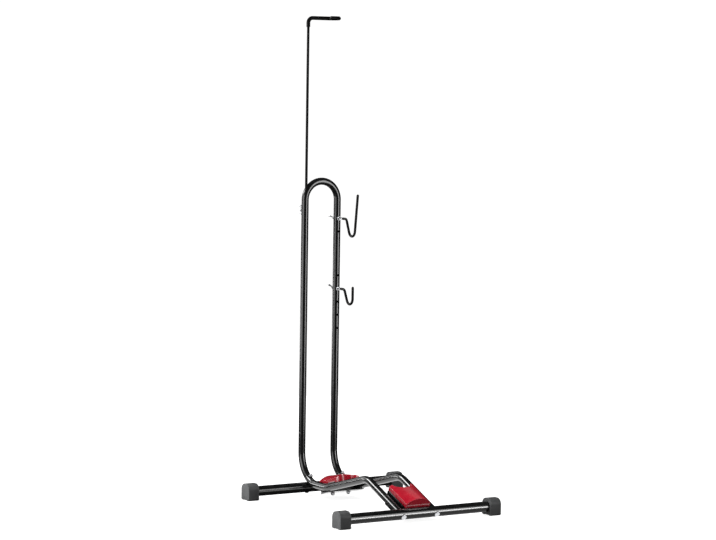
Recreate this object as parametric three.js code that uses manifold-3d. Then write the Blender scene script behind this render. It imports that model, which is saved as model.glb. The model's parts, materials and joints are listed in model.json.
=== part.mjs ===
// Vertical bike stand, in millimetres, +Z up.
// Two crossbars stand on four plastic caps. Two bent rails join them and carry a tall hoop.
// A rod with a wheel hook slides in the hoop's left leg, and two J hooks pass through its right leg.
// While it is built, Y is zero midway between the crossbars and the front is -Y.

import * as THREE from 'three';
import { mergeVertices } from 'three/addons/utils/BufferGeometryUtils.js';
import Module from 'manifold-3d';

const wasm = await Module();
wasm.setup();

// Clearances, in millimetres
const seatGap = 0.3;
const holeGap = 0.35;
const cutOverrun = 3;

// Base frame: insets are from the nearer crossbar's axis towards the other one
const stand = { width: 676, barSpacing: 663 };
const bar = { diameter: 38, wall: 1.8 };
const cap = {
  length: 44, depth: 60, height: 62, endWall: 5, crownRadius: 20, footRadius: 4,
  edge: 2, reliefWidth: 30, reliefDepth: 1.6,
};
const rail = {
  spread: 140, diameter: 27, wall: 1.5, lowHeight: 48.55, heelRadius: 111,
  valleyInset: 146, valleyRadius: 180, crestInset: 233.5, crestHeight: 124.4, crestRadius: 90,
  jointHeight: 232,
};
const sleeve = { length: 110, wall: 1.5 };
const plug = { length: 22 };

// Wheel pads and the brackets that carry them. Lifts are above the rails' axes
const pad = {
  width: 100, length: 128, lift: 17.2, wallHeight: 15.8, crown: 20, innerCrown: 11,
  notchRadius: 38, notchReach: 6, studSpacing: 68, studDepth: 12,
};
const pedestal = { width: 96, innerReach: 24, outerReach: 48 };
const bracket = { thickness: 3, length: 62, flangeReach: 7 };
const cheek = { gap: 1.5, length: 110, shift: 5, lift: 20 };
const frontPad = { inset: 68.5, bracketShift: 0, studTail: 4 };
const rearPad = { inset: 120.5, bracketShift: -15, studTail: 2 };

// Hoop, with the depths of its holes and clamp below the foot of its bend
const hoop = { height: 1193.5, screwHeight: 258 };
const holeRow = { depth: 70, spacing: 50, upperCount: 2, lowerDepth: 286, lowerCount: 5 };

const clamp = { depth: 39, bossLength: 7, bossWidth: 15 };

// Sliding rod with its wheel hook: its height is above the hoop, its depth below the hoop's bend
const rod = { diameter: 10, height: 596.5, depth: 142, bendRadius: 18 };
const wheelHook = { reach: 80, radius: 30, tipLength: 21 };
const hookSleeve = { wall: 2, drop: 34, tipGap: 3 };
const bush = { length: 26, endGap: 4 };

// J hooks, as distances in front of the leg's axis and above or below the shank's axis
const upperHook = {
  shoulder: 69, toeReach: 27, toeLength: 34, depth: 63, tipHeight: 96, tipReach: 20, shoulderRadius: 14,
};
const lowerHook = {
  shoulder: 61, toeReach: 27, toeLength: 34.5, depth: 53, tipHeight: 15, tipReach: 0, shoulderRadius: 14,
};
const hook = { diameter: 9.6, shankDiameter: 8, toeRadius: 22, rearLength: 17, shankLead: 12 };

// Fasteners
const thread = { diameter: 8 };
const nut = { width: 13, height: 6.5 };
const washer = { diameter: 18, thickness: 1.6 };
const dome = { diameter: 20, height: 5.5, sink: 3.2 };
const flange = { diameter: 17, thickness: 1.6 };
const bolt = { tail: 4 };
const screw = { diameter: 6, headDiameter: 11, headHeight: 3.4, reach: 9 };
const wing = {
  hubDiameter: 15, hubTop: 11, hubHeight: 9, span: 40, thickness: 3, root: 6, tipWidth: 13, back: 13,
};

// Facets
const facets = { tube: 18, bore: 10, bar: 22, rod: 10, hole: 9, round: 14, hexagon: 6, dome: 3 };
const bendStep = THREE.MathUtils.degToRad(12);
const hookStep = THREE.MathUtils.degToRad(23);
const padGrid = { across: 10, along: 6 };

// Places worked out from the sizes
const half = (value) => value / 2;
const frontY = -half(stand.barSpacing);
const rearY = half(stand.barSpacing);
const barHeight = half(cap.height);
const railX = half(rail.spread);
const railRadius = half(rail.diameter);
const boreRadius = railRadius - rail.wall;
const heelReach = rail.heelRadius + railRadius + half(bar.diameter) + seatGap;
const heelRise = rail.lowHeight + rail.heelRadius - barHeight;
const heelRun = Math.sqrt(heelReach ** 2 - heelRise ** 2);
const heelY = rearY - heelRun;
const legY = heelY + rail.heelRadius;
const legTop = hoop.height - railRadius - railX;
const clampHeight = legTop - clamp.depth;
const rodTop = hoop.height + rod.height;
const rodBottom = legTop - rod.depth;
const rodY = legY - boreRadius + half(rod.diameter) + seatGap;
const crestY = frontY + rail.crestInset;
const valleyY = rearY - rail.valleyInset;
const frontPadY = frontY + frontPad.inset;
const rearPadY = rearY - rearPad.inset;
const slopeAngle = Math.atan2(rail.crestHeight - barHeight, rail.crestInset);
const riseAngle = Math.atan2(rail.crestHeight - rail.lowHeight, valleyY - crestY);
const heelAngle = Math.atan2(heelRise, -heelRun);
const nutCorner = half(nut.width) / Math.cos(Math.PI / facets.hexagon);
const heelInside = rail.heelRadius - railRadius;
const heelSag = heelInside - Math.sqrt(heelInside ** 2 - nutCorner ** 2);
const chordSag = heelInside * (1 - Math.cos(half(bendStep)));
const heelNutSeat = half(bar.diameter) + rail.diameter + heelSag + chordSag + 2 * seatGap;
const threadHole = half(thread.diameter) + holeGap;
const screwHole = half(screw.diameter) + holeGap;
const shankHole = half(hook.shankDiameter) + holeGap;
const rodHole = half(rod.diameter) + seatGap;
const barSeatRadius = half(bar.diameter) + seatGap;
const leftRight = [['left', -1], ['right', 1]];

const point = (x, y, z) => new THREE.Vector3(x, y, z);

// Finishes
const finishes = {
  blackPaint: { color: 0x141416, roughness: 0.35, metalness: 0.5 },
  blackPlastic: { color: 0x2a2b2d, roughness: 0.6, metalness: 0 },
  blackRubber: { color: 0x101010, roughness: 0.75, metalness: 0 },
  redPlastic: { color: 0xb3122a, roughness: 0.28, metalness: 0 },
  zinc: { color: 0xc9ccd0, roughness: 0.3, metalness: 1 },
  nylon: { color: 0xd9d6cc, roughness: 0.6, metalness: 0 },
};

// A path through rounded corners, with its stations only where it bends or ends
class RoundedRoute extends THREE.Curve {
  constructor(corners, step) {
    super();
    this.stations = [];
    this.addStation(corners[0].at, this.direction(corners[0].at, corners[1].at));
    for (let i = 1; i < corners.length - 1; i += 1) {
      this.addBend(corners[i - 1].at, corners[i], corners[i + 1].at, step);
    }
    const [before, last] = corners.slice(-2);
    this.addStation(last.at, this.direction(before.at, last.at));
  }

  direction(from, to) {
    return to.clone().sub(from).normalize();
  }

  addStation(at, along) {
    this.stations.push({ at: at.clone(), along: along.clone() });
  }

  addBend(before, corner, after, step) {
    const into = this.direction(before, corner.at);
    const out = this.direction(corner.at, after);
    const turn = into.angleTo(out);
    const tangentLength = corner.radius * Math.tan(half(turn));
    const start = corner.at.clone().addScaledVector(into, -tangentLength);
    const axis = into.clone().cross(out).normalize();
    const inward = axis.clone().cross(into);
    const centre = start.clone().addScaledVector(inward, corner.radius);
    const count = Math.max(2, Math.ceil(turn / step));
    for (let i = 0; i <= count; i += 1) {
      const angle = (turn * i) / count;
      const spoke = start.clone().sub(centre).applyAxisAngle(axis, angle);
      this.addStation(centre.clone().add(spoke), into.clone().applyAxisAngle(axis, angle));
    }
  }

  get steps() {
    return this.stations.length - 1;
  }

  stationAt(share) {
    return this.stations[Math.round(share * this.steps)];
  }

  getPointAt(share) {
    return this.stationAt(share).at.clone();
  }

  getTangentAt(share) {
    return this.stationAt(share).along.clone();
  }
}

// Sections
function circle(radius, sides) {
  const points = [];
  for (let i = 0; i < sides; i += 1) {
    const angle = (Math.PI * (2 * i + 1)) / sides;
    points.push(new THREE.Vector2(radius * Math.cos(angle), radius * Math.sin(angle)));
  }
  return points;
}

// A faceted hole whose flats touch the stated radius
function clearCircle(radius, sides) {
  return circle(radius / Math.cos(Math.PI / sides), sides);
}

function ring(outerRadius, innerRadius, sides, innerSides) {
  const section = new THREE.Shape(circle(outerRadius, sides));
  section.holes.push(new THREE.Path(clearCircle(innerRadius, innerSides)));
  return section;
}

function outline(pairs) {
  return new THREE.Shape(pairs.map(([x, y]) => new THREE.Vector2(x, y)));
}

// Solids
function sweep(section, route) {
  return new THREE.ExtrudeGeometry(section, { steps: route.steps, extrudePath: route });
}

function slab(section, depth) {
  return new THREE.ExtrudeGeometry(section, { depth, bevelEnabled: false, steps: 1 });
}

function centredSlab(section, depth) {
  return slab(section, depth).translate(0, 0, -half(depth));
}

function turned(pairs, sides) {
  const profile = pairs.map(([radius, height]) => new THREE.Vector2(radius, height));
  return new THREE.LatheGeometry(profile, sides).rotateX(half(Math.PI));
}

// A slab of any section between two points
function between(from, to, section) {
  const along = to.clone().sub(from);
  const turn = new THREE.Quaternion().setFromUnitVectors(point(0, 0, 1), along.clone().normalize());
  return slab(section, along.length()).applyQuaternion(turn).translate(from.x, from.y, from.z);
}

function roundBar(from, to, radius, sides) {
  return between(from, to, new THREE.Shape(circle(radius, sides)));
}

// The solid that a drill of the stated radius takes away
function drill(from, to, radius, sides = facets.hole) {
  return between(from, to, new THREE.Shape(clearCircle(radius, sides)));
}

// Joining and cutting
// A turned profile that meets its axis has triangles there with two corners alike
function fullTriangles(corners) {
  const kept = [];
  for (let i = 0; i < corners.length; i += 3) {
    const [a, b, c] = corners.slice(i, i + 3);
    if (a !== b && b !== c && c !== a) kept.push(a, b, c);
  }
  return Uint32Array.from(kept);
}

function toSolid(geometry) {
  const bare = geometry.clone();
  bare.deleteAttribute('normal');
  bare.deleteAttribute('uv');
  const merged = mergeVertices(bare);
  return new wasm.Manifold(new wasm.Mesh({
    numProp: 3,
    vertProperties: Float32Array.from(merged.attributes.position.array),
    triVerts: fullTriangles(merged.index.array),
  }));
}

function toGeometry(solid) {
  const { vertProperties, triVerts } = solid.getMesh();
  const geometry = new THREE.BufferGeometry();
  geometry.setAttribute('position', new THREE.BufferAttribute(vertProperties, 3));
  geometry.setIndex(new THREE.BufferAttribute(triVerts, 1));
  geometry.computeVertexNormals();
  return geometry;
}

function cut(geometry, cutters) {
  return toGeometry(cutters.reduce((solid, cutter) => solid.subtract(toSolid(cutter)), toSolid(geometry)));
}

function join(pieces) {
  const [first, ...others] = pieces.map(toSolid);
  return toGeometry(others.reduce((solid, piece) => solid.add(piece), first));
}

const object = new THREE.Group();

function addPiece(name, geometry, finish, parent = object) {
  const mesh = new THREE.Mesh(geometry, new THREE.MeshStandardMaterial(finishes[finish]));
  mesh.name = name;
  parent.add(mesh);
  return mesh;
}

// Directions in the YZ plane, as an angle from +Y towards +Z
function inSide(angle) {
  return point(0, Math.cos(angle), Math.sin(angle));
}

// Crossbars and caps
function barTube(holeAngle) {
  const length = stand.width - 2 * (cap.endWall + seatGap);
  const section = ring(half(bar.diameter), half(bar.diameter) - bar.wall, facets.bar, facets.bar);
  const tube = centredSlab(section, length).rotateY(half(Math.PI));
  const reach = half(bar.diameter) + cutOverrun;
  const away = inSide(holeAngle).multiplyScalar(reach);
  const holes = leftRight.map(([, side]) => {
    const centre = point(side * railX, 0, 0);
    return drill(centre.clone().sub(away), centre.clone().add(away), threadHole);
  });
  return cut(tube, holes);
}

function addBar(name, y, holeAngle) {
  addPiece(name, barTube(holeAngle), 'blackPaint').position.set(0, y, barHeight);
}

function capProfile() {
  const side = half(cap.depth) - cap.edge;
  const low = cap.edge;
  const high = cap.height - cap.edge;
  const crown = cap.crownRadius;
  const foot = cap.footRadius;
  const profile = new THREE.Shape();
  profile.moveTo(-side + foot, low);
  profile.lineTo(side - foot, low);
  profile.absarc(side - foot, low + foot, foot, -half(Math.PI), 0);
  profile.absarc(side - crown, high - crown, crown, 0, half(Math.PI));
  profile.absarc(-side + crown, high - crown, crown, half(Math.PI), Math.PI);
  profile.absarc(-side + foot, low + foot, foot, Math.PI, 1.5 * Math.PI);
  return profile;
}

// The cap's closed end is at zero and its mouth is towards +X
function capBody() {
  const block = new THREE.ExtrudeGeometry(capProfile(), {
    depth: cap.length - 2 * cap.edge,
    bevelThickness: cap.edge,
    bevelSize: cap.edge,
    bevelSegments: 2,
    curveSegments: 3,
  });
  block.translate(0, 0, cap.edge).rotateX(half(Math.PI)).rotateZ(half(Math.PI));
  const mouthEnd = point(cap.length + cutOverrun, 0, barHeight);
  const mouth = drill(point(cap.endWall, 0, barHeight), mouthEnd, barSeatRadius, facets.bar);
  const relief = new THREE.BoxGeometry(2 * cap.length, cap.reliefWidth, 2 * cap.reliefDepth);
  relief.translate(half(cap.length), 0, 0);
  const drop = relief.clone().translate(half(cap.length), 0, 0);
  return cut(block, [mouth, drop]);
}

function addCaps() {
  for (const [end, y] of [['front', frontY], ['rear', rearY]]) {
    for (const [hand, side] of leftRight) {
      const mesh = addPiece(`end_cap_${end}_${hand}`, capBody(), 'blackPlastic');
      mesh.position.set(side * half(stand.width), y, 0);
      mesh.rotation.z = side > 0 ? Math.PI : 0;
    }
  }
}

// Rails
function railRoute(x) {
  return new RoundedRoute([
    { at: point(x, legY, rail.jointHeight - half(seatGap)) },
    { at: point(x, legY, rail.lowHeight), radius: rail.heelRadius },
    { at: point(x, valleyY, rail.lowHeight), radius: rail.valleyRadius },
    { at: point(x, crestY, rail.crestHeight), radius: rail.crestRadius },
    { at: point(x, frontY, barHeight) },
  ], bendStep);
}

function frontBarSeat() {
  const reach = point(railX + rail.diameter, 0, 0);
  const centre = point(0, frontY, barHeight);
  return drill(centre.clone().sub(reach), centre.clone().add(reach), barSeatRadius, facets.bar);
}

function heelBore(x) {
  const centre = point(x, rearY, barHeight);
  const along = inSide(heelAngle);
  const far = half(bar.diameter) + rail.diameter + cutOverrun;
  return drill(centre, centre.clone().addScaledVector(along, far), threadHole);
}

function addRails() {
  for (const [hand, side] of leftRight) {
    const x = side * railX;
    const section = ring(railRadius, boreRadius, facets.tube, facets.bore);
    const cutters = [frontBarSeat(), heelBore(x)];
    addPiece(`${hand}_rail`, cut(sweep(section, railRoute(x)), cutters), 'blackPaint');
  }
}

// Inner sleeves that join the rails to the hoop's legs
function addJointSleeves() {
  const outer = boreRadius - seatGap;
  for (const [hand, side] of leftRight) {
    const section = ring(outer, outer - sleeve.wall, facets.tube, facets.tube);
    const holeFrom = point(0, 0, hoop.screwHeight - rail.jointHeight);
    const holeTo = holeFrom.clone().add(point(0, railRadius + cutOverrun, 0));
    const hole = drill(holeFrom, holeTo, screwHole);
    const tube = cut(centredSlab(section, sleeve.length), [hole]);
    addPiece(`${hand}_joint_sleeve`, tube, 'zinc').position.set(side * railX, legY, rail.jointHeight);
  }
}

// Threaded plugs inside the rails' front ends
function addEndPlugs() {
  const slope = inSide(slopeAngle);
  const start = half(bar.diameter) - railRadius;
  const end = half(bar.diameter) + plug.length;
  for (const [hand, side] of leftRight) {
    const centre = point(side * railX, frontY, barHeight);
    const along = (distance) => centre.clone().addScaledVector(slope, distance);
    const body = roundBar(along(start), along(end), boreRadius - seatGap, facets.tube);
    const bore = drill(along(0), along(end + cutOverrun), threadHole);
    addPiece(`${hand}_rail_end_plug`, cut(body, [bore, frontBarSeat()]), 'zinc');
  }
}

// Bolts with a domed head hollowed to the crossbar
function domeProfile() {
  const pairs = [[0, -dome.sink], [half(dome.diameter), -dome.sink], [half(dome.diameter), 0]];
  for (let i = 1; i <= facets.dome; i += 1) {
    const angle = (half(Math.PI) * i) / facets.dome;
    pairs.push([half(dome.diameter) * Math.cos(angle), dome.height * Math.sin(angle)]);
  }
  pairs[pairs.length - 1][0] = 0;
  return pairs;
}

function barBolt(length) {
  const reach = barSeatRadius;
  const seat = drill(point(-dome.diameter, 0, 0), point(dome.diameter, 0, 0), reach, facets.bar);
  const head = cut(turned(domeProfile(), facets.round).translate(0, 0, reach), [seat]);
  const shankTop = point(0, 0, reach + half(dome.height));
  const shank = roundBar(shankTop, point(0, 0, reach - length), half(thread.diameter), facets.rod);
  return join([head, shank]);
}

function addBarBolts(end, y, holeAngle, length) {
  for (const [hand, side] of leftRight) {
    const mesh = addPiece(`${end}_bar_bolt_${hand}`, barBolt(length), 'zinc');
    mesh.position.set(side * railX, y, barHeight);
    mesh.rotation.x = holeAngle + half(Math.PI);
  }
}

function hexagonNut(height, holeRadius) {
  const section = new THREE.Shape(circle(nutCorner, facets.hexagon));
  section.holes.push(new THREE.Path(clearCircle(holeRadius, facets.hole)));
  return slab(section, height);
}

function addHeelNuts() {
  for (const [hand, side] of leftRight) {
    const body = hexagonNut(nut.height, threadHole);
    const mesh = addPiece(`rear_bar_nut_${hand}`, body, 'zinc');
    const away = inSide(heelAngle).multiplyScalar(heelNutSeat);
    mesh.position.set(side * railX, rearY + away.y, barHeight + away.z);
    mesh.rotation.x = heelAngle - half(Math.PI);
  }
}

// Pads: +Y is the domed outer end, and the notch for the tyre is at the inner end.
// A pedestal below the pad stands on its bracket
function padCrown(acrossShare, alongShare) {
  const crown = THREE.MathUtils.lerp(pad.innerCrown, pad.crown, alongShare);
  return crown - crown * acrossShare ** 2;
}

function padBlock() {
  const positions = [];
  const index = [];
  const { across: columns, along: rows } = padGrid;
  const layer = (rows + 1) * (columns + 1);
  for (const top of [0, 1]) {
    for (let j = 0; j <= rows; j += 1) {
      for (let i = 0; i <= columns; i += 1) {
        const acrossShare = (2 * i - columns) / columns;
        const alongShare = j / rows;
        const x = acrossShare * half(pad.width);
        const y = alongShare * pad.length - half(pad.length);
        positions.push(x, y, top * (pad.wallHeight + padCrown(acrossShare, alongShare)));
      }
    }
  }
  const at = (top, j, i) => top * layer + j * (columns + 1) + i;
  const quad = (a, b, c, d) => index.push(a, b, c, a, c, d);
  for (let j = 0; j < rows; j += 1) {
    for (let i = 0; i < columns; i += 1) {
      quad(at(1, j, i), at(1, j, i + 1), at(1, j + 1, i + 1), at(1, j + 1, i));
      quad(at(0, j, i), at(0, j + 1, i), at(0, j + 1, i + 1), at(0, j, i + 1));
    }
    quad(at(0, j, 0), at(1, j, 0), at(1, j + 1, 0), at(0, j + 1, 0));
    quad(at(0, j, columns), at(0, j + 1, columns), at(1, j + 1, columns), at(1, j, columns));
  }
  for (let i = 0; i < columns; i += 1) {
    quad(at(0, 0, i), at(0, 0, i + 1), at(1, 0, i + 1), at(1, 0, i));
    quad(at(0, rows, i), at(1, rows, i), at(1, rows, i + 1), at(0, rows, i + 1));
  }
  const geometry = new THREE.BufferGeometry();
  geometry.setAttribute('position', new THREE.Float32BufferAttribute(positions, 3));
  geometry.setIndex(index);
  return geometry;
}

function padBody() {
  const height = pad.wallHeight + pad.crown + cutOverrun;
  const notchY = -half(pad.length) - pad.notchReach + cutOverrun;
  const notch = drill(point(0, notchY, -cutOverrun), point(0, notchY, height), pad.notchRadius, facets.bar);
  const depth = pad.lift + railRadius;
  const top = half(pad.wallHeight);
  const footLength = pedestal.innerReach + pedestal.outerReach;
  const foot = new THREE.BoxGeometry(pedestal.width, footLength, top + depth);
  foot.translate(0, half(pedestal.outerReach - pedestal.innerReach), half(top - depth));
  const studHoles = leftRight.map(([, side]) => {
    const x = side * half(pad.studSpacing);
    return drill(point(x, 0, -depth - cutOverrun), point(x, 0, pad.studDepth - depth), threadHole);
  });
  return cut(join([cut(padBlock(), [notch]), foot]), studHoles);
}

// A plate under the rails with a cheek on each side of the pad
function bracketBody(plateShift, cheekShift) {
  const top = -railRadius - seatGap;
  const low = top - bracket.thickness;
  const width = 2 * (railX + bracket.flangeReach);
  const plate = new THREE.BoxGeometry(width, bracket.length, bracket.thickness);
  plate.translate(0, plateShift, half(top + low));
  const blade = new THREE.BoxGeometry(bracket.thickness, cheek.length, cheek.lift - low);
  const cheekX = railX - railRadius - cheek.gap - half(bracket.thickness);
  const cheeks = leftRight.map(([, side]) => {
    return blade.clone().translate(side * cheekX, cheekShift, half(low + cheek.lift));
  });
  const holes = leftRight.map(([, side]) => {
    const x = side * half(pad.studSpacing);
    return drill(point(x, 0, low - cutOverrun), point(x, 0, top + cutOverrun), threadHole);
  });
  return cut(join([plate, ...cheeks]), holes);
}

function flangeNut() {
  const plate = slab(ring(half(flange.diameter), threadHole, facets.round, facets.hole), flange.thickness);
  return join([plate, hexagonNut(nut.height + flange.thickness, threadHole)]);
}

// A pad with its bracket, studs and nuts, in a group that lies along the rail
function addPad(end, seat, spec, outwards) {
  const group = new THREE.Group();
  object.add(group);
  group.position.copy(seat.at);
  group.rotation.set(seat.tilt, 0, 0);
  const bracketSolid = bracketBody(spec.bracketShift, -outwards * cheek.shift);
  addPiece(`${end}_pad_bracket`, bracketSolid, 'blackPaint', group);
  const padMesh = addPiece(`${end}_wheel_pad`, padBody(), 'redPlastic', group);
  padMesh.position.set(0, 0, pad.lift);
  padMesh.rotation.z = outwards > 0 ? 0 : Math.PI;
  const underside = -railRadius - seatGap - bracket.thickness;
  const low = underside - seatGap - flange.thickness - nut.height - spec.studTail;
  const high = pad.studDepth - railRadius - seatGap;
  for (const [hand, side] of leftRight) {
    const x = side * half(pad.studSpacing);
    const stud = roundBar(point(x, 0, low), point(x, 0, high), half(thread.diameter), facets.rod);
    addPiece(`${end}_pad_stud_${hand}`, stud, 'zinc', group);
    const nutMesh = addPiece(`${end}_pad_nut_${hand}`, flangeNut(), 'zinc', group);
    nutMesh.position.set(x, 0, underside - seatGap);
    nutMesh.rotation.x = Math.PI;
  }
}

function frontSeat() {
  const height = barHeight + frontPad.inset * Math.tan(slopeAngle);
  return { at: point(0, frontPadY, height), tilt: slopeAngle };
}

// The rear pad is in line with the rails' middle stretch
function rearSeat() {
  const height = rail.lowHeight + (valleyY - rearPadY) * Math.tan(riseAngle);
  return { at: point(0, rearPadY, height), tilt: -riseAngle };
}

// Hoop
function hookHeights() {
  const row = (depth, count) => {
    return Array.from({ length: count }, (_, i) => legTop - depth - i * holeRow.spacing);
  };
  const upper = row(holeRow.depth, holeRow.upperCount);
  const lower = row(holeRow.lowerDepth, holeRow.lowerCount);
  return { upper, lower, all: [...upper, ...lower] };
}

function legHole(x, height, from, to, radius) {
  return drill(point(x, legY + from, height), point(x, legY + to, height), radius);
}

function hoopBody() {
  const route = new RoundedRoute([
    { at: point(-railX, legY, rail.jointHeight + half(seatGap)) },
    { at: point(-railX, legY, legTop + railX), radius: railX },
    { at: point(railX, legY, legTop + railX), radius: railX },
    { at: point(railX, legY, rail.jointHeight + half(seatGap)) },
  ], bendStep);
  const reach = railRadius + cutOverrun;
  const holes = hookHeights().all.map((height) => legHole(railX, height, -reach, reach, shankHole));
  const screws = leftRight.map(([, side]) => {
    return legHole(side * railX, hoop.screwHeight, 0, reach, screwHole);
  });
  const clampHole = legHole(-railX, clampHeight, 0, reach, threadHole);
  const entry = drill(point(-railX, rodY, legTop), point(-railX, rodY, hoop.height), rodHole);
  const tube = sweep(ring(railRadius, boreRadius, facets.tube, facets.bore), route);
  return cut(tube, [...holes, ...screws, clampHole, entry]);
}

function panScrew() {
  const face = railRadius + seatGap;
  const along = (distance) => point(0, face + distance, 0);
  const head = roundBar(along(0), along(screw.headHeight), half(screw.headDiameter), facets.round);
  const shankEnd = along(half(screw.headHeight));
  const shank = roundBar(along(-screw.reach), shankEnd, half(screw.diameter), facets.rod);
  return join([head, shank]);
}

function addHoopScrews() {
  for (const [hand, side] of leftRight) {
    addPiece(`hoop_screw_${hand}`, panScrew(), 'zinc').position.set(side * railX, legY, hoop.screwHeight);
  }
}

// Wing head with its hub's flat face at zero and its wings towards +Z
function wingOutline() {
  const tip = half(wing.span);
  const top = wing.hubHeight + wing.back;
  return outline([
    [0, 0], [wing.root, 0], [tip, top - wing.tipWidth], [tip, top], [tip - wing.root, top],
    [wing.root, wing.hubHeight], [0, wing.hubHeight],
  ]);
}

function wingHead(holeRadius) {
  const profile = [
    [holeRadius, 0], [half(wing.hubDiameter), 0], [half(wing.hubTop), wing.hubHeight],
    [holeRadius, wing.hubHeight], [holeRadius, 0],
  ];
  const hub = turned(profile, facets.round);
  const blade = centredSlab(wingOutline(), wing.thickness).rotateX(half(Math.PI));
  const bore = drill(point(0, 0, -cutOverrun), point(0, 0, wing.hubHeight + cutOverrun), holeRadius);
  const blades = [0, Math.PI].map((turn) => cut(blade.clone().rotateZ(turn), [bore]));
  return join([hub, ...blades]);
}

function addClamp() {
  const bossFace = railRadius + seatGap;
  const bossEnd = bossFace + clamp.bossLength;
  const block = roundBar(
    point(-railX, legY + railRadius - clamp.bossLength, clampHeight),
    point(-railX, legY + bossEnd, clampHeight),
    half(clamp.bossWidth),
    facets.round,
  );
  const legFoot = point(-railX, legY, rail.jointHeight);
  const leg = drill(legFoot, point(-railX, legY, legTop), bossFace, facets.tube);
  const tapped = legHole(-railX, clampHeight, 0, bossEnd + cutOverrun, threadHole);
  addPiece('clamp_boss', cut(block, [leg, tapped]), 'blackPaint');

  const headFace = legY + bossFace + clamp.bossLength + seatGap;
  const tip = rodY + half(rod.diameter) + seatGap;
  const tipPoint = point(0, 0, tip - headFace);
  const shank = roundBar(tipPoint, point(0, 0, wing.hubHeight), half(thread.diameter), facets.rod);
  const head = wingHead(half(thread.diameter) - seatGap);
  const wingBolt = addPiece('rod_wing_bolt', join([head, shank]), 'zinc');
  wingBolt.position.set(-railX, headFace, clampHeight);
  wingBolt.rotation.x = -half(Math.PI);
  wingBolt.rotateZ(half(Math.PI));
}

// Sliding rod, its guide bush and the soft sleeve on its hook
function hookRoute(from, tipGap) {
  const x = -railX;
  const far = x + wheelHook.reach + wheelHook.radius;
  const front = rodY - 2 * wheelHook.radius;
  const tipX = x + wheelHook.reach - wheelHook.tipLength + tipGap;
  return new RoundedRoute([
    { at: point(x, rodY, from) },
    { at: point(x, rodY, rodTop), radius: rod.bendRadius },
    { at: point(far, rodY, rodTop), radius: wheelHook.radius },
    { at: point(far, front, rodTop), radius: wheelHook.radius },
    { at: point(tipX, front, rodTop) },
  ], hookStep);
}

function addRod() {
  const section = new THREE.Shape(circle(half(rod.diameter), facets.rod));
  addPiece('sliding_rod', sweep(section, hookRoute(rodBottom, 0)), 'blackPaint');

  const cover = ring(rodHole + hookSleeve.wall, rodHole, facets.round, facets.rod);
  const coverRoute = hookRoute(rodTop - hookSleeve.drop, hookSleeve.tipGap);
  addPiece('wheel_hook_sleeve', sweep(cover, coverRoute), 'blackRubber');

  const low = rodBottom + bush.endGap;
  const barrel = roundBar(point(0, 0, 0), point(0, 0, bush.length), boreRadius - seatGap, facets.tube);
  const offset = rodY - legY;
  const bore = drill(point(0, offset, -cutOverrun), point(0, offset, bush.length + cutOverrun), rodHole);
  addPiece('rod_guide_bush', cut(barrel, [bore]), 'nylon').position.set(-railX, legY, low);
}

// J hooks: a shank through the leg, then a bend down, round and up
function hookPath(spec) {
  const heelY = -spec.shoulder;
  const toeY = heelY - spec.toeReach;
  const frontToeY = toeY - spec.toeLength;
  return {
    back: point(0, heelY + hook.shankLead + spec.shoulderRadius, 0),
    corners: [
      { at: point(0, heelY, 0), radius: spec.shoulderRadius },
      { at: point(0, toeY, -spec.depth), radius: hook.toeRadius },
      { at: point(0, frontToeY, -spec.depth), radius: hook.toeRadius },
      { at: point(0, frontToeY - spec.tipReach, spec.tipHeight) },
    ],
  };
}

function jHook(spec) {
  const path = hookPath(spec);
  const route = new RoundedRoute([{ at: path.back }, ...path.corners], hookStep);
  const coated = sweep(new THREE.Shape(circle(half(hook.diameter), facets.rod)), route);
  const rear = railRadius + hook.rearLength;
  const shank = roundBar(
    point(0, rear, 0),
    path.back.clone().sub(point(0, hook.shankDiameter, 0)),
    half(hook.shankDiameter),
    facets.rod,
  );
  return join([coated, shank]);
}

function addHook(name, spec, height, wingTurn) {
  const group = new THREE.Group();
  object.add(group);
  group.position.set(railX, legY, height);
  addPiece(`${name}_hook`, jHook(spec), 'blackPaint', group);
  const face = railRadius + seatGap;
  const frontNut = addPiece(`${name}_hook_nut`, flangeNut(), 'zinc', group);
  frontNut.position.y = -face;
  frontNut.rotation.x = half(Math.PI);
  const disc = slab(ring(half(washer.diameter), shankHole, facets.round, facets.hole), washer.thickness);
  const rearWasher = addPiece(`${name}_hook_washer`, disc, 'zinc', group);
  rearWasher.position.y = face;
  rearWasher.rotation.x = -half(Math.PI);
  const wingNut = addPiece(`${name}_hook_wing_nut`, wingHead(shankHole), 'zinc', group);
  wingNut.position.y = face + washer.thickness + seatGap;
  wingNut.rotation.set(-half(Math.PI), 0, 0);
  wingNut.rotateZ(wingTurn);
}

addBar('front_crossbar', frontY, slopeAngle);
addBar('rear_crossbar', rearY, heelAngle);
addCaps();
addRails();
addJointSleeves();
addEndPlugs();
addBarBolts('front', frontY, slopeAngle, half(bar.diameter) + plug.length + barSeatRadius);
addBarBolts('rear', rearY, heelAngle, heelNutSeat + nut.height + bolt.tail + barSeatRadius);
addHeelNuts();
addPad('front', frontSeat(), frontPad, -1);
addPad('rear', rearSeat(), rearPad, 1);
addPiece('hoop', hoopBody(), 'blackPaint');
addHoopScrews();
addClamp();
addRod();
addHook('upper', upperHook, hookHeights().upper[0], THREE.MathUtils.degToRad(25));
addHook('lower', lowerHook, hookHeights().lower[1], THREE.MathUtils.degToRad(40));

// The finished stand is centred on the floor under its own box
object.updateMatrixWorld(true);
const box = new THREE.Box3().setFromObject(object);
object.position.y = -half(box.min.y + box.max.y);

export default object;
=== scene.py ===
"""Looks for a vertical bike stand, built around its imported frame.

The stand's sizes are in millimetres in its own frame: +Z is up, the front crossbar is towards -Y,
the sliding rod is in the left leg (-X) and the J hooks are on the right leg (+X). The studio's
sizes and the finishes' relief are in metres.
"""

import json
import logging
import math
from dataclasses import dataclass
from enum import Enum
from typing import Any, Iterable, Sequence

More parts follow.
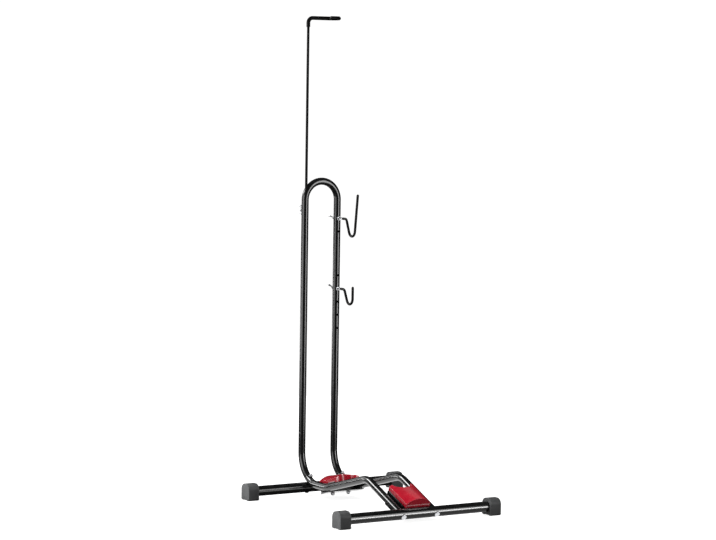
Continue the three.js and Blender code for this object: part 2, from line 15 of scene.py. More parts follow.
import bmesh
import bpy
from mathutils import Matrix, Quaternion, Vector
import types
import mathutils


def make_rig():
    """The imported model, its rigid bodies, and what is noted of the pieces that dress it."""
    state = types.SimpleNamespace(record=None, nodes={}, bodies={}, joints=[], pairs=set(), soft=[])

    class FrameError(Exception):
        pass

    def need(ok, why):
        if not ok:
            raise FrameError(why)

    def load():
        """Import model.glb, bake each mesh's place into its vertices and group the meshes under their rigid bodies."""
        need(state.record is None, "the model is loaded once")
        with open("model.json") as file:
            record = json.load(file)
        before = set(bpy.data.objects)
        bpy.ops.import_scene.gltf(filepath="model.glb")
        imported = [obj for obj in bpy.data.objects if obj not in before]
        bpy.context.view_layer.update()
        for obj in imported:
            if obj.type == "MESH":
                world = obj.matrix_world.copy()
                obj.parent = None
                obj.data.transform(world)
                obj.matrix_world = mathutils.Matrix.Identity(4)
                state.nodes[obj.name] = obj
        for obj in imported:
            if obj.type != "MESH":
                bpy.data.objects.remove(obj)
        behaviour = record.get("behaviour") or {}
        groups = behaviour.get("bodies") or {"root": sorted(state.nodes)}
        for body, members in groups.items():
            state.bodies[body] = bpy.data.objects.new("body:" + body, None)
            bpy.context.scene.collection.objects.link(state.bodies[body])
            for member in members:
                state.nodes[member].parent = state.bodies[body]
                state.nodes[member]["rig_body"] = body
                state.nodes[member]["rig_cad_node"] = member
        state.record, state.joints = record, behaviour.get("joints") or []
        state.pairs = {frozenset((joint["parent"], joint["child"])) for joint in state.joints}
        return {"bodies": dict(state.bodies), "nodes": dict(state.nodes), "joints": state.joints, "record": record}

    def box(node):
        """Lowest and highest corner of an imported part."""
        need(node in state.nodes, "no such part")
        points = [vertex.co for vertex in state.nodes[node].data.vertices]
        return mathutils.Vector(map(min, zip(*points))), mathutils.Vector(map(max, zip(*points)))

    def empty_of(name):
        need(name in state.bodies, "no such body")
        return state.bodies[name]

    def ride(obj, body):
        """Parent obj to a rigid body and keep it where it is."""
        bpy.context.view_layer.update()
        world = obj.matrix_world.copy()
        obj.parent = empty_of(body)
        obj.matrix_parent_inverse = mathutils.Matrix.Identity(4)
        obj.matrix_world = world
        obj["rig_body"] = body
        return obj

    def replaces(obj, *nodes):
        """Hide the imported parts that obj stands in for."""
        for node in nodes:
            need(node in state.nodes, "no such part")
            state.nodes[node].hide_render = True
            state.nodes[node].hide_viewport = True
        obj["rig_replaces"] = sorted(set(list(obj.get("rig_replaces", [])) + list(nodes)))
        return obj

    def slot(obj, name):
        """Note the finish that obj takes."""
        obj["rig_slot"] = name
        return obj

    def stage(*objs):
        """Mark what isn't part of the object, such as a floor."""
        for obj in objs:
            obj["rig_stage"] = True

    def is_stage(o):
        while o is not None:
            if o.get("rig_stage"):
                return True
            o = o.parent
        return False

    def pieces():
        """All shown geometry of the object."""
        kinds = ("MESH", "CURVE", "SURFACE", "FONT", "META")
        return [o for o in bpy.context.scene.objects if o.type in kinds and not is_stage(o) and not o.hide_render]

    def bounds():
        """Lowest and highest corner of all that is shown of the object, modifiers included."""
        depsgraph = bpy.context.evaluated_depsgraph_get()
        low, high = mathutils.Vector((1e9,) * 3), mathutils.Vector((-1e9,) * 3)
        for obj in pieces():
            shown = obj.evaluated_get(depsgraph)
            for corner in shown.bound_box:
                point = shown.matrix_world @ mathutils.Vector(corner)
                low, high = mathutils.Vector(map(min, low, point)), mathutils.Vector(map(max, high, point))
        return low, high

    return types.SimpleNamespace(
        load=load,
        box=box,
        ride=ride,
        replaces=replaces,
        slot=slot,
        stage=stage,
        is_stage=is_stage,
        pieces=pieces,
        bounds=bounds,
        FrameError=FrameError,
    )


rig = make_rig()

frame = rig.load()
CAD_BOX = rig.bounds()

LOG = logging.getLogger("bike_stand")
MILLIMETRE = 0.001
SIZE_FILE = "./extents.json"
SEAT_GAP = 0.3
HOLE_GAP = 0.35
OVERRUN = 4.0
BOLT_RADIUS = 4.0
SCREW_RADIUS = 3.0
TUBE_SIDES = 56
FINE_SIDES = 40
BAR_SIDES = 72
SEAT_SIDES = 96
DOME_SIDES = 48
THREAD_SIDES = 24
THREAD_RINGS = 4
THREAD_DEPTH_SHARE = 0.55
SOFT_STEPS = 3
ROUND_STEPS = 8
BEND_STEP = math.radians(3.0)
FINE_STEP = math.radians(5.0)
# A soft edge is followed by one more ring at this many lips, which keeps the long faces' shading level
LEVEL_RING = 4.0

Mesh = bmesh.types.BMesh
Piece = bpy.types.Object
Outline = list[tuple[float, float]]
Colour = tuple[float, float, float, float]


class Part(Enum):
    """A part of the stand that names its nodes."""

    @property
    def word(self) -> str:
        """The part's word in node names."""
        return self.name.lower()


class Side(Part):
    """A side of the stand, with its sign along X."""

    LEFT = -1
    RIGHT = 1


class End(Part):
    """An end of the stand, with its sign along Y."""

    FRONT = -1
    REAR = 1


class Boolean(Enum):
    """How another solid changes a piece."""

    CUT = "DIFFERENCE"
    JOIN = "UNION"
    KEEP = "INTERSECT"


class Grain(Enum):
    """The fine relief of a finish, with the name of its node group."""

    WAVES = "paint_flow"
    PEBBLES = "moulded_skin"


class Tip(Enum):
    """How the end of a rod or tube is finished."""

    FLAT = "flat"
    SOFT = "soft"
    ROUND = "round"


class Slot(Enum):
    """The record's material slots."""

    PAINT = "black_paint"
    CAP = "black_plastic"
    PAD = "red_plastic"
    ZINC = "zinc"
    RUBBER = "black_rubber"
    VINYL = "black_vinyl"
    NYLON = "nylon"


# Places shared by the sub-assemblies


def point(x: float, y: float, z: float) -> Vector:
    """A point in millimetres."""
    return Vector((x, y, z))


def in_side(angle: float) -> Vector:
    """A direction in the YZ plane, as an angle from +Y towards +Z."""
    return point(0.0, math.cos(angle), math.sin(angle))


UP, DOWN = point(0, 0, 1), point(0, 0, -1)
REARWARD, FORWARD = point(0, 1, 0), point(0, -1, 0)


@dataclass(frozen=True)
class Layout:
    """Sizes and places that more than one sub-assembly uses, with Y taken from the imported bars."""

    width: float = 676.0
    bar_spacing: float = 663.0
    bar_radius: float = 19.0
    bar_height: float = 31.0
    tube_radius: float = 13.5
    bore_radius: float = 12.0
    rail_x: float = 70.0
    low_height: float = 48.55
    heel_radius: float = 111.0
    valley_inset: float = 146.0
    valley_radius: float = 180.0
    crest_inset: float = 233.5
    crest_height: float = 124.4
    crest_radius: float = 90.0
    joint_height: float = 232.0
    hoop_height: float = 1193.5
    rod_radius: float = 5.0
    clamp_depth: float = 39.0
    boss_length: float = 7.0

    @property
    def middle_y(self) -> float:
        """Y midway between the crossbars."""
        boxes = [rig.box(f"{end.word}_crossbar") for end in End]
        corners = [corner[1] for box in boxes for corner in box]
        return sum(corners) / len(corners) / MILLIMETRE

    @property
    def front_y(self) -> float:
        """Y of the front crossbar's axis."""
        return self.middle_y - self.bar_spacing / 2

    @property
    def rear_y(self) -> float:
        """Y of the rear crossbar's axis."""
        return self.middle_y + self.bar_spacing / 2

    @property
    def heel_rise(self) -> float:
        """Height of the heel bends' centre above the rear crossbar's axis."""
        return self.low_height + self.heel_radius - self.bar_height

    @property
    def heel_run(self) -> float:
        """Distance of the heel bends' centre in front of the rear crossbar's axis."""
        reach = self.heel_radius + self.tube_radius + self.bar_radius + SEAT_GAP
        return math.sqrt(reach**2 - self.heel_rise**2)

    @property
    def heel_angle(self) -> float:
        """Angle from +Y to +Z of the rear bolts, from the crossbar up to the heel."""
        return math.atan2(self.heel_rise, -self.heel_run)

    @property
    def leg_y(self) -> float:
        """Y of the legs' axes."""
        return self.rear_y - self.heel_run + self.heel_radius

    @property
    def leg_top(self) -> float:
        """Height of the foot of the hoop's bend."""
        return self.hoop_height - self.tube_radius - self.rail_x

    @property
    def rod_y(self) -> float:
        """Y of the sliding rod's axis, against the leg's front wall."""
        return self.leg_y - self.bore_radius + self.rod_radius + SEAT_GAP

    @property
    def crest_y(self) -> float:
        """Y of the corner of the rails' crest."""
        return self.front_y + self.crest_inset

    @property
    def valley_y(self) -> float:
        """Y of the corner of the rails' valley."""
        return self.rear_y - self.valley_inset

    @property
    def slope_angle(self) -> float:
        """Angle of the rails' front stretch above the floor."""
        return math.atan2(self.crest_height - self.bar_height, self.crest_inset)

    @property
    def rise_angle(self) -> float:
        """Angle of the rails' middle stretch above the floor."""
        return math.atan2(self.crest_height - self.low_height, self.valley_y - self.crest_y)

    def bar_y(self, end: End) -> float:
        """Y of a crossbar's axis."""
        return self.front_y if end is End.FRONT else self.rear_y

    def rail_on_bar(self, end: End, side: Side) -> Vector:
        """The point of a crossbar's axis that lies in a rail's plane."""
        return point(side.value * self.rail_x, self.bar_y(end), self.bar_height)

    def pad_seat(self, end: End, inset: float) -> Matrix:
        """The place on the rails' axes of a pad that lies in line with them.

        Args:
            end: The pad's end of the stand.
            inset: Its distance from that end's crossbar.

        Returns:
            The matrix that takes the pad's own frame there, +Y along the rails to the rear.
        """
        y = self.bar_y(end) - end.value * inset
        if end is End.FRONT:
            height, tilt = self.bar_height + inset * math.tan(self.slope_angle), self.slope_angle
        else:
            height = self.low_height + (self.valley_y - y) * math.tan(self.rise_angle)
            tilt = -self.rise_angle
        return Matrix.Translation(point(0.0, y, height)) @ Matrix.Rotation(tilt, 4, "X")


# Paths


@dataclass(frozen=True)
class Corner:
    """A corner of a path, with the radius that rounds it."""

    at: Vector
    radius: float = 0.0


@dataclass(frozen=True)
class Station:
    """A point of a path with the path's direction there."""

    at: Vector
    along: Vector


def quarter_turn(count: int) -> list[float]:
    """Angles from nought to a right angle in equal steps."""
    return [math.radians(90 * i / count) for i in range(count + 1)]


def full_turn(count: int) -> list[float]:
    """Angles all round a circle in equal steps, without the last."""
    return [2 * math.pi * i / count for i in range(count)]


def rounded_path(corners: Sequence[Corner], step: float = BEND_STEP) -> list[Station]:
    """Stations of a path through rounded corners.

    Args:
        corners: The path's ends and corners in order.
        step: Largest turn between two stations of a bend.

    Returns:
        The stations, only where the path bends or ends.
    """
    first, second = corners[0].at, corners[1].at
    stations = [Station(first, (second - first).normalized())]
    for before, corner, after in zip(corners, corners[1:], corners[2:]):
        into = (corner.at - before.at).normalized()
        out = (after.at - corner.at).normalized()
        turn = into.angle(out)
        start = corner.at - into * corner.radius * math.tan(turn / 2)
        axis = into.cross(out).normalized()
        centre = start + axis.cross(into) * corner.radius
        count = max(2, math.ceil(turn / step))
        for i in range(count + 1):
            spin = Quaternion(axis, turn * i / count)
            stations.append(Station(centre + spin @ (start - centre), spin @ into))
    before, last = corners[-2].at, corners[-1].at
    stations.append(Station(last, (last - before).normalized()))
    return stations


def straight_path(start: Vector, end: Vector) -> list[Station]:
    """The two stations of a straight path."""
    along = (end - start).normalized()
    return [Station(start, along), Station(end, along)]


def tip_rings(tip: Tip, radius: float, lip: float) -> Outline:
    """Rings that finish an end.

    Args:
        tip: The kind of end.
        radius: The rod's or tube's radius.
        lip: Size of a soft edge.

    Returns:
        Pairs of distance from the end and radius, from the end inwards.
    """
    if tip is Tip.FLAT:
        return [(0.0, radius)]
    if tip is Tip.SOFT:
        turns = reversed(quarter_turn(SOFT_STEPS))
        rings = [(lip * (1 - math.sin(a)), radius - lip * (1 - math.cos(a))) for a in turns]
        return [*rings, (lip * LEVEL_RING, radius)]
    turns = quarter_turn(ROUND_STEPS)[1:]
    return [(radius * (1 - math.cos(a)), radius * math.sin(a)) for a in turns]


def finished_stations(
    path: Sequence[Station], radius: float, tips: tuple[Tip, Tip], lip: float
) -> list[tuple[Station, float]]:
    """A path's stations with a radius at each, its ends finished.

    Args:
        path: The stations, with straight stretches at both ends.
        radius: The radius between the ends.
        tips: The kinds of the first and the last end.
        lip: Size of a soft edge.

    Returns:
        Pairs of station and radius in order.
    """
    first, last = path[0], path[-1]
    rings = []
    for distance, size in tip_rings(tips[0], radius, lip):
        rings.append((Station(first.at + first.along * distance, first.along), size))
    rings.extend((station, radius) for station in path[1:-1])
    for distance, size in reversed(tip_rings(tips[1], radius, lip)):
        rings.append((Station(last.at - last.along * distance, last.along), size))
    return rings


def rounded_outline(corners: Sequence[tuple[float, float, float]], steps: int = 5) -> Outline:
    """A closed outline with rounded corners.

    Args:
        corners: X, Y and radius of each corner, in order.
        steps: Stretches in each rounding.

    Returns:
        The outline's points.
    """
    outline: Outline = []
    for i, (x, y, radius) in enumerate(corners):
        here = Vector((x, y))
        before = Vector(corners[i - 1][:2])
        after = Vector(corners[(i + 1) % len(corners)][:2])
        into, out = (here - before).normalized(), (after - here).normalized()
        turn = math.atan2(into.cross(out), into.dot(out))
        if radius <= 0:
            outline.append((x, y))
            continue
        start = here - into * radius * math.tan(abs(turn) / 2)
        side = Vector((-into.y, into.x)) * (1 if turn > 0 else -1)
        centre = start + side * radius
        for k in range(steps + 1):
            spoke = (start - centre).copy()
            spoke.rotate(Matrix.Rotation(turn * k / steps, 2))
            outline.append(tuple(centre + spoke))
    return outline


def rounded_box(left: float, right: float, low: float, high: float, radius: float) -> Outline:
    """The outline of a rectangle with equally rounded corners."""
    corners = [(left, low), (right, low), (right, high), (left, high)]
    return rounded_outline([(x, y, radius) for x, y in corners])


# Meshes


def skin(mesh: Mesh, first: Sequence[Any], second: Sequence[Any]) -> None:
    """Joins two closed rings of vertices with quads."""
    count = len(first)
    for i in range(count):
        j = (i + 1) % count
        mesh.faces.new((first[i], first[j], second[j], second[i]))


def skin_all(mesh: Mesh, rings: Sequence[Sequence[Any]]) -> None:
    """Joins each ring with the next."""
    for first, second in zip(rings, rings[1:]):
        skin(mesh, first, second)


def skin_solid(mesh: Mesh, rings: Sequence[Sequence[Any]]) -> None:
    """Joins each ring with the next and closes both ends."""
    skin_all(mesh, rings)
    mesh.faces.new(list(reversed(rings[0])))
    mesh.faces.new(rings[-1])


def swept_rings(mesh: Mesh, stations: Sequence[tuple[Station, float]], sides: int) -> list[list[Any]]:
    """Rings of vertices along a path, without twist.

    Args:
        mesh: The mesh that the vertices go into.
        stations: The path's stations with their radii.
        sides: Vertices in each ring.

    Returns:
        The rings of vertices.
    """
    along = stations[0][0].along
    spoke = along.orthogonal().normalized()
    rings = []
    for station, radius in stations:
        spoke = along.rotation_difference(station.along) @ spoke
        along = station.along
        turns = [Quaternion(along, angle) for angle in full_turn(sides)]
        rings.append([mesh.verts.new(station.at + turn @ spoke * radius) for turn in turns])
    return rings


def rod_mesh(
    path: Sequence[Station],
    radius: float,
    tips: tuple[Tip, Tip] = (Tip.SOFT, Tip.SOFT),
    sides: int = FINE_SIDES,
    lip: float = 0.5,
) -> Mesh:
    """A solid rod along a path.

    Args:
        path: The rod's stations.
        radius: Its radius.
        tips: How its two ends are finished.
        sides: Vertices around it.
        lip: Size of a soft edge.

    Returns:
        The closed mesh.
    """
    mesh = bmesh.new()
    skin_solid(mesh, swept_rings(mesh, finished_stations(path, radius, tips, lip), sides))
    return mesh


def tube_mesh(
    path: Sequence[Station], radius: float, bore: float, sides: int = TUBE_SIDES, lip: float = 0.4
) -> Mesh:
    """A hollow tube along a path, with soft edges at its ends.

    Args:
        path: The tube's stations.
        radius: Its outer radius.
        bore: Its inner radius.
        sides: Vertices around it.
        lip: Size of the soft edges.

    Returns:
        The closed mesh.
    """
    mesh = bmesh.new()
    soft, flat = (Tip.SOFT, Tip.SOFT), (Tip.FLAT, Tip.FLAT)
    outer = swept_rings(mesh, finished_stations(path, radius, soft, lip), sides)
    inner = swept_rings(mesh, finished_stations(path, bore, flat, lip), sides)
    skin_all(mesh, outer)
    skin_all(mesh, list(reversed(inner)))
    skin(mesh, inner[0], outer[0])
    skin(mesh, outer[-1], inner[-1])
    return mesh


def turned_mesh(profile: Outline, sides: int = FINE_SIDES, closed: bool = False) -> Mesh:
    """A turned solid about +Z.

    Args:
        profile: Pairs of radius and height, from low to high outside.
        sides: Vertices around it.
        closed: True for a ring whose profile returns to its start, False for one from axis to axis.

    Returns:
        The closed mesh.
    """
    mesh = bmesh.new()
    rings = []
    for radius, height in profile:
        angles = full_turn(sides) if radius > 0 else [0.0]
        places = [point(radius * math.cos(a), radius * math.sin(a), height) for a in angles]
        rings.append([mesh.verts.new(place) for place in places])
    pairs = list(zip(rings, rings[1:]))
    if closed:
        pairs.append((rings[-1], rings[0]))
    for low, high in pairs:
        for i in range(sides):
            j = (i + 1) % sides
            corners = [low[i % len(low)], low[j % len(low)], high[j % len(high)], high[i % len(high)]]
            kept = list(dict.fromkeys(corners))
            if len(kept) > 2:
                mesh.faces.new(kept)
    return mesh


def prism_mesh(outline: Outline, low: float, high: float) -> Mesh:
    """A prism along +Z with a flat outline, given anticlockwise."""
    mesh = bmesh.new()
    skin_solid(mesh, [[mesh.verts.new(point(x, y, z)) for x, y in outline] for z in (low, high)])
    return mesh


def drill_mesh(start: Vector, end: Vector, radius: float, sides: int = FINE_SIDES) -> Mesh:
    """The solid that a drill takes away."""
    return rod_mesh(straight_path(start, end), radius, (Tip.FLAT, Tip.FLAT), sides)


def threaded_mesh(radius: float, length: float, plain: float, pitch: float = 1.25) -> Mesh:
    """A rod along +Z with a helical thread above its plain part.

    Args:
        radius: Outer radius.
        length: Whole length.
        plain: Length of the unthreaded part.
        pitch: The thread's pitch.

    Returns:
        The closed mesh, with both ends tapered in.
    """
    depth = THREAD_DEPTH_SHARE * pitch
    heights = [0.0, *([plain] if plain > 0 else [])]
    start = heights[-1]
    count = max(1, int((length - start) * THREAD_RINGS / pitch))
    heights.extend(start + (length - start) * i / count for i in range(1, count + 1))
    mesh = bmesh.new()
    rings = []
    for height in heights:
        taper = depth * max(0.0, 1 - min(height, length - height) / pitch)
        ring = []
        for i, angle in enumerate(full_turn(THREAD_SIDES)):
            phase = (height / pitch - i / THREAD_SIDES) % 1.0
            cut = depth * abs(2 * phase - 1) if height > plain else 0.0
            size = radius - max(cut, taper)
            ring.append(mesh.verts.new(point(size * math.cos(angle), size * math.sin(angle), height)))
        rings.append(ring)
    skin_solid(mesh, rings)
    return mesh


def shank_mesh(radius: float, length: float, plain: float, top: Vector, pitch: float = 1.25) -> Mesh:
    """A threaded rod that hangs from a point, its plain part first."""
    return moved(threaded_mesh(radius, length, plain, pitch), lying(top, DOWN))


def merged(*meshes: Mesh) -> Mesh:
    """Several meshes in one, each still closed on its own."""
    whole = bmesh.new()
    for mesh in meshes:
        data = bpy.data.meshes.new("part")
        mesh.to_mesh(data)
        mesh.free()
        whole.from_mesh(data)
        bpy.data.meshes.remove(data)
    return whole


def moved(mesh: Mesh, matrix: Matrix) -> Mesh:
    """The mesh after a move or turn, for chaining."""
    mesh.transform(matrix)
    return mesh


def lying(at: Vector, axis: Vector, spin: float = 0.0) -> Matrix:
    """The matrix that takes +Z to an axis through a point, after a spin about it."""
    turn = UP.rotation_difference(axis)
    return Matrix.Translation(at) @ turn.to_matrix().to_4x4() @ Matrix.Rotation(spin, 4, "Z")


# Objects


def linked_object(name: str, mesh: Mesh) -> Piece:
    """An object in the scene that holds the mesh, which is used up."""
    data = bpy.data.meshes.new(name)
    mesh.to_mesh(data)
    mesh.free()
    piece = bpy.data.objects.new(name, data)
    bpy.context.scene.collection.objects.link(piece)
    return piece


def object_from(name: str, mesh: Mesh) -> Piece:
    """A linked object with its faces turned outwards, still in millimetres."""
    bmesh.ops.recalc_face_normals(mesh, faces=mesh.faces)
    return linked_object(name, mesh)


def discard(piece: Piece) -> None:
    """Deletes an object and its mesh."""
    data = piece.data
    bpy.data.objects.remove(piece)
    bpy.data.meshes.remove(data)


def settle(piece: Piece) -> None:
    """Writes an object's modifiers into its mesh."""
    graph = bpy.context.evaluated_depsgraph_get()
    data = bpy.data.meshes.new_from_object(piece.evaluated_get(graph))
    old = piece.data
    piece.modifiers.clear()
    piece.data = data
    data.name = piece.name
    bpy.data.meshes.remove(old)


def combine(piece: Piece, other: Mesh, change: Boolean = Boolean.CUT) -> None:
    """Cuts another solid from a piece, or joins or intersects them.

    Args:
        piece: The piece that changes.
        other: The other solid, which is used up.
        change: How the other solid changes it.
    """
    tool = object_from("tool", other)
    modifier = piece.modifiers.new("combine", "BOOLEAN")
    modifier.operation = change.value
    modifier.solver = "EXACT"
    modifier.object = tool
    settle(piece)
    discard(tool)


def soften(piece: Piece, width: float, segments: int = 2, angle: float = 40.0) -> None:
    """Rounds the sharp edges of a piece.

    Args:
        piece: The piece that changes.
        width: Width of the rounding.
        segments: Faces across it.
        angle: Smallest angle in degrees between faces that is rounded.
    """
    change = piece.modifiers.new("soften", "BEVEL")
    change.width = width
    change.segments = segments
    change.limit_method = "ANGLE"
    change.angle_limit = math.radians(angle)
    settle(piece)


# Node tools


class Nodes:
    """Short forms for placing and joining nodes in one tree."""

    def __init__(self, tree: bpy.types.NodeTree) -> None:
        """Keeps the tree."""
        self.tree = tree

    def feed(self, socket: bpy.types.NodeSocket, value: Any) -> None:
        """Gives an input a constant or the socket that feeds it."""
        if isinstance(value, bpy.types.NodeSocket):
            self.tree.links.new(value, socket)
        else:
            socket.default_value = value

    def add(self, kind: str, values: dict[Any, Any] | None = None, **settings: Any) -> bpy.types.Node:
        """Adds a node.

        Args:
            kind: The node's type name.
            values: Input names or numbers, each with a constant or the socket that feeds it.
            settings: Properties of the node.

        Returns:
            The new node.
        """
        node = self.tree.nodes.new(kind)
        for name, value in settings.items():
            setattr(node, name, value)
        for name, value in (values or {}).items():
            self.feed(node.inputs[name], value)
        return node

    def group(self, tree: bpy.types.NodeTree, values: dict[str, float]) -> Any:
        """The outputs of a node group, placed with its own values."""
        return self.add("ShaderNodeGroup", values, node_tree=tree).outputs

    def product(self, first: Any, second: Any) -> bpy.types.NodeSocket:
        """The product of two values, held between nought and one."""
        node = self.add("ShaderNodeMath", {0: first, 1: second}, operation="MULTIPLY", use_clamp=True)
        return node.outputs[0]

    def spread(
        self, value: Any, start: float, end: float, target: tuple[float, float] = (0.0, 1.0)
    ) -> bpy.types.NodeSocket:
        """A value mapped from one range to another and held inside it."""
        limits = {"From Min": start, "From Max": end, "To Min": target[0], "To Max": target[1]}
        return self.add("ShaderNodeMapRange", {"Value": value, **limits}).outputs[0]

    def mix(self, factor: Any, first: Any, second: Any) -> bpy.types.NodeSocket:
        """A mix of two colours."""
        node = self.add("ShaderNodeMix", {0: factor, 6: first, 7: second}, data_type="RGBA")
        return node.outputs[2]


def new_group(name: str, inputs: dict[str, float], outputs: Iterable[str]) -> tuple[Any, Nodes, Any, Any]:
    """A shader node group with float sockets.

    Args:
        name: The group's name.
        inputs: Input names with their default values.
        outputs: Output names.

    Returns:
        The group, its node tools, its input sockets and its output node's sockets.
    """
    tree = bpy.data.node_groups.new(name, "ShaderNodeTree")
    for label, value in inputs.items():
        socket = tree.interface.new_socket(label, in_out="INPUT", socket_type="NodeSocketFloat")
        socket.default_value = value
    for label in outputs:
        tree.interface.new_socket(label, in_out="OUTPUT", socket_type="NodeSocketFloat")
    nodes = Nodes(tree)
    return tree, nodes, nodes.add("NodeGroupInput").outputs, nodes.add("NodeGroupOutput").inputs


# Where the shared effects begin and end, and the noises that break them up
EDGE_TURN = (0.99, 0.80)
EDGE_NOISE = {"Scale": 420.0, "Detail": 3.0}
EDGE_PATCHES = (0.38, 0.62, (0.15, 1.0))
SHADE_NOISE = {
    Grain.PEBBLES: {"Scale": 35.0, "Detail": 4.0},
    Grain.WAVES: {"Scale": 18.0, "Detail": 5.0},
}
SHADE_PATCHES = (0.3, 0.7)
DUST_SLOPE = (0.35, 1.0)
DUST_NOISE = {"Scale": 60.0, "Detail": 8.0}
DUST_CLOUD = (0.4, 0.75)


class Effects:
    """The shader node groups that several materials share, each built once."""

    def __init__(self) -> None:
        """Builds every group."""
        self.wear = self._edge_wear()
        self.reliefs = {grain: self._relief(grain) for grain in SHADE_NOISE}
        self.dust = self._dust()

    @staticmethod
    def _edge_wear() -> bpy.types.NodeTree:
        """A mask that rises on edges, broken up by noise; it marks wear on most finishes and a painted highlight on
        the red pad.
        """
        tree, nodes, given, out = new_group("edge_wear", {"Radius": 0.0008, "Amount": 1.0}, ["Mask"])
        bevel = nodes.add("ShaderNodeBevel", {"Radius": given["Radius"]}, samples=4)
        surface = nodes.add("ShaderNodeNewGeometry").outputs["Normal"]
        dot = nodes.add("ShaderNodeVectorMath", {0: bevel.outputs[0], 1: surface}, operation="DOT_PRODUCT")
        edge = nodes.spread(dot.outputs["Value"], *EDGE_TURN)
        place = nodes.add("ShaderNodeTexCoord").outputs["Object"]
        noise = nodes.add("ShaderNodeTexNoise", {"Vector": place, **EDGE_NOISE})
        patches = nodes.spread(noise.outputs[0], *EDGE_PATCHES)
        nodes.feed(out["Mask"], nodes.product(nodes.product(edge, patches), given["Amount"]))
        return tree

    @staticmethod
    def _relief(grain: Grain) -> bpy.types.NodeTree:
        """Fine relief of a grain as height, with a slow change of shade."""
        tree, nodes, given, out = new_group(grain.value, {"Scale": 350.0}, ["Height", "Shade"])
        place = nodes.add("ShaderNodeTexCoord").outputs["Object"]
        inputs = {"Vector": place, "Scale": given["Scale"]}
        if grain is Grain.PEBBLES:
            height = nodes.add("ShaderNodeTexVoronoi", inputs, feature="SMOOTH_F1").outputs["Distance"]
        else:
            height = nodes.add("ShaderNodeTexNoise", inputs | {"Detail": 2.0}).outputs[0]
        patches = nodes.add("ShaderNodeTexNoise", {"Vector": place, **SHADE_NOISE[grain]}).outputs[0]
        nodes.feed(out["Height"], height)
        nodes.feed(out["Shade"], nodes.spread(patches, *SHADE_PATCHES))
        return tree

    @staticmethod
    def _dust() -> bpy.types.NodeTree:
        """A mask of thin dust on faces that look up."""
        tree, nodes, given, out = new_group("dust", {"Amount": 0.2}, ["Mask"])
        place = nodes.add("ShaderNodeTexCoord").outputs
        height = nodes.add("ShaderNodeSeparateXYZ", {0: place["Normal"]}).outputs["Z"]
        upward = nodes.spread(height, *DUST_SLOPE)
        noise = nodes.add("ShaderNodeTexNoise", {"Vector": place["Object"], **DUST_NOISE})
        cloud = nodes.spread(noise.outputs[0], *DUST_CLOUD)
        nodes.feed(out["Mask"], nodes.product(nodes.product(upward, cloud), given["Amount"]))
        return tree


def grey(value: float, tint: float = 0.0) -> Colour:
    """A grey, cooler with a positive tint."""
    return (value, value * (1 + tint / 2), value * (1 + tint), 1.0)


DUST_COLOUR = (0.42, 0.40, 0.37, 1.0)
DUST_ROUGHNESS = 0.4
DEEP_SHADE = 0.82


@dataclass(frozen=True)
class Coat:
    """A finish whose colour, gloss and fine relief vary over the surface; its edge colour is wear, and on the red pad
    a painted highlight.
    """

    name: str
    colour: Colour
    worn: Colour
    roughness: tuple[float, float]
    metallic: float = 0.0
    coat: float = 0.0
    coat_roughness: float = 0.05
    relief: Grain = Grain.WAVES
    relief_scale: float = 350.0
    relief_height: float = 0.00002
    relief_strength: float = 0.3
    edge_radius: float = 0.0008
    edge_amount: float = 0.5
    dust: float = 0.05
    specular: float = 0.5

    def build(self, effects: Effects) -> bpy.types.Material:
        """Makes the material.

        Args:
            effects: The shared node groups.

        Returns:
            The finished material.
        """
        material = bpy.data.materials.new(self.name)
        nodes = shader_nodes(material)
        relief = nodes.group(effects.reliefs[self.relief], {"Scale": self.relief_scale})
        wear = nodes.group(effects.wear, {"Radius": self.edge_radius, "Amount": self.edge_amount})
        dust = nodes.group(effects.dust, {"Amount": self.dust})
        deep = tuple(channel * DEEP_SHADE for channel in self.colour[:3]) + (1.0,)
        body = nodes.mix(relief["Shade"], deep, self.colour)
        # Edges take the edge colour: wear on most finishes, and on the red pad a painted highlight along its ridges
        # and arch.
        body = nodes.mix(wear["Mask"], body, self.worn)
        body = nodes.mix(dust["Mask"], body, DUST_COLOUR)
        gloss = nodes.spread(relief["Shade"], 0.0, 1.0, self.roughness)
        dull = nodes.product(dust["Mask"], DUST_ROUGHNESS)
        gloss = nodes.add("ShaderNodeMath", {0: gloss, 1: dull}, operation="ADD", use_clamp=True)
        bump = {"Strength": self.relief_strength, "Distance": self.relief_height, "Height": relief["Height"]}
        values = {
            "Base Color": body,
            "Roughness": gloss.outputs[0],
            "Metallic": self.metallic,
            "Coat Weight": self.coat,
            "Coat Roughness": self.coat_roughness,
            "Specular IOR Level": self.specular,
            "Normal": nodes.add("ShaderNodeBump", bump).outputs[0],
        }
        shader = nodes.add("ShaderNodeBsdfPrincipled", values)
        nodes.add("ShaderNodeOutputMaterial", {"Surface": shader.outputs[0]})
        return material


def shader_nodes(owner: bpy.types.Material | bpy.types.World) -> Nodes:
    """The node tools of a material or world, emptied."""
    owner.use_nodes = True
    owner.node_tree.nodes.clear()
    return Nodes(owner.node_tree)


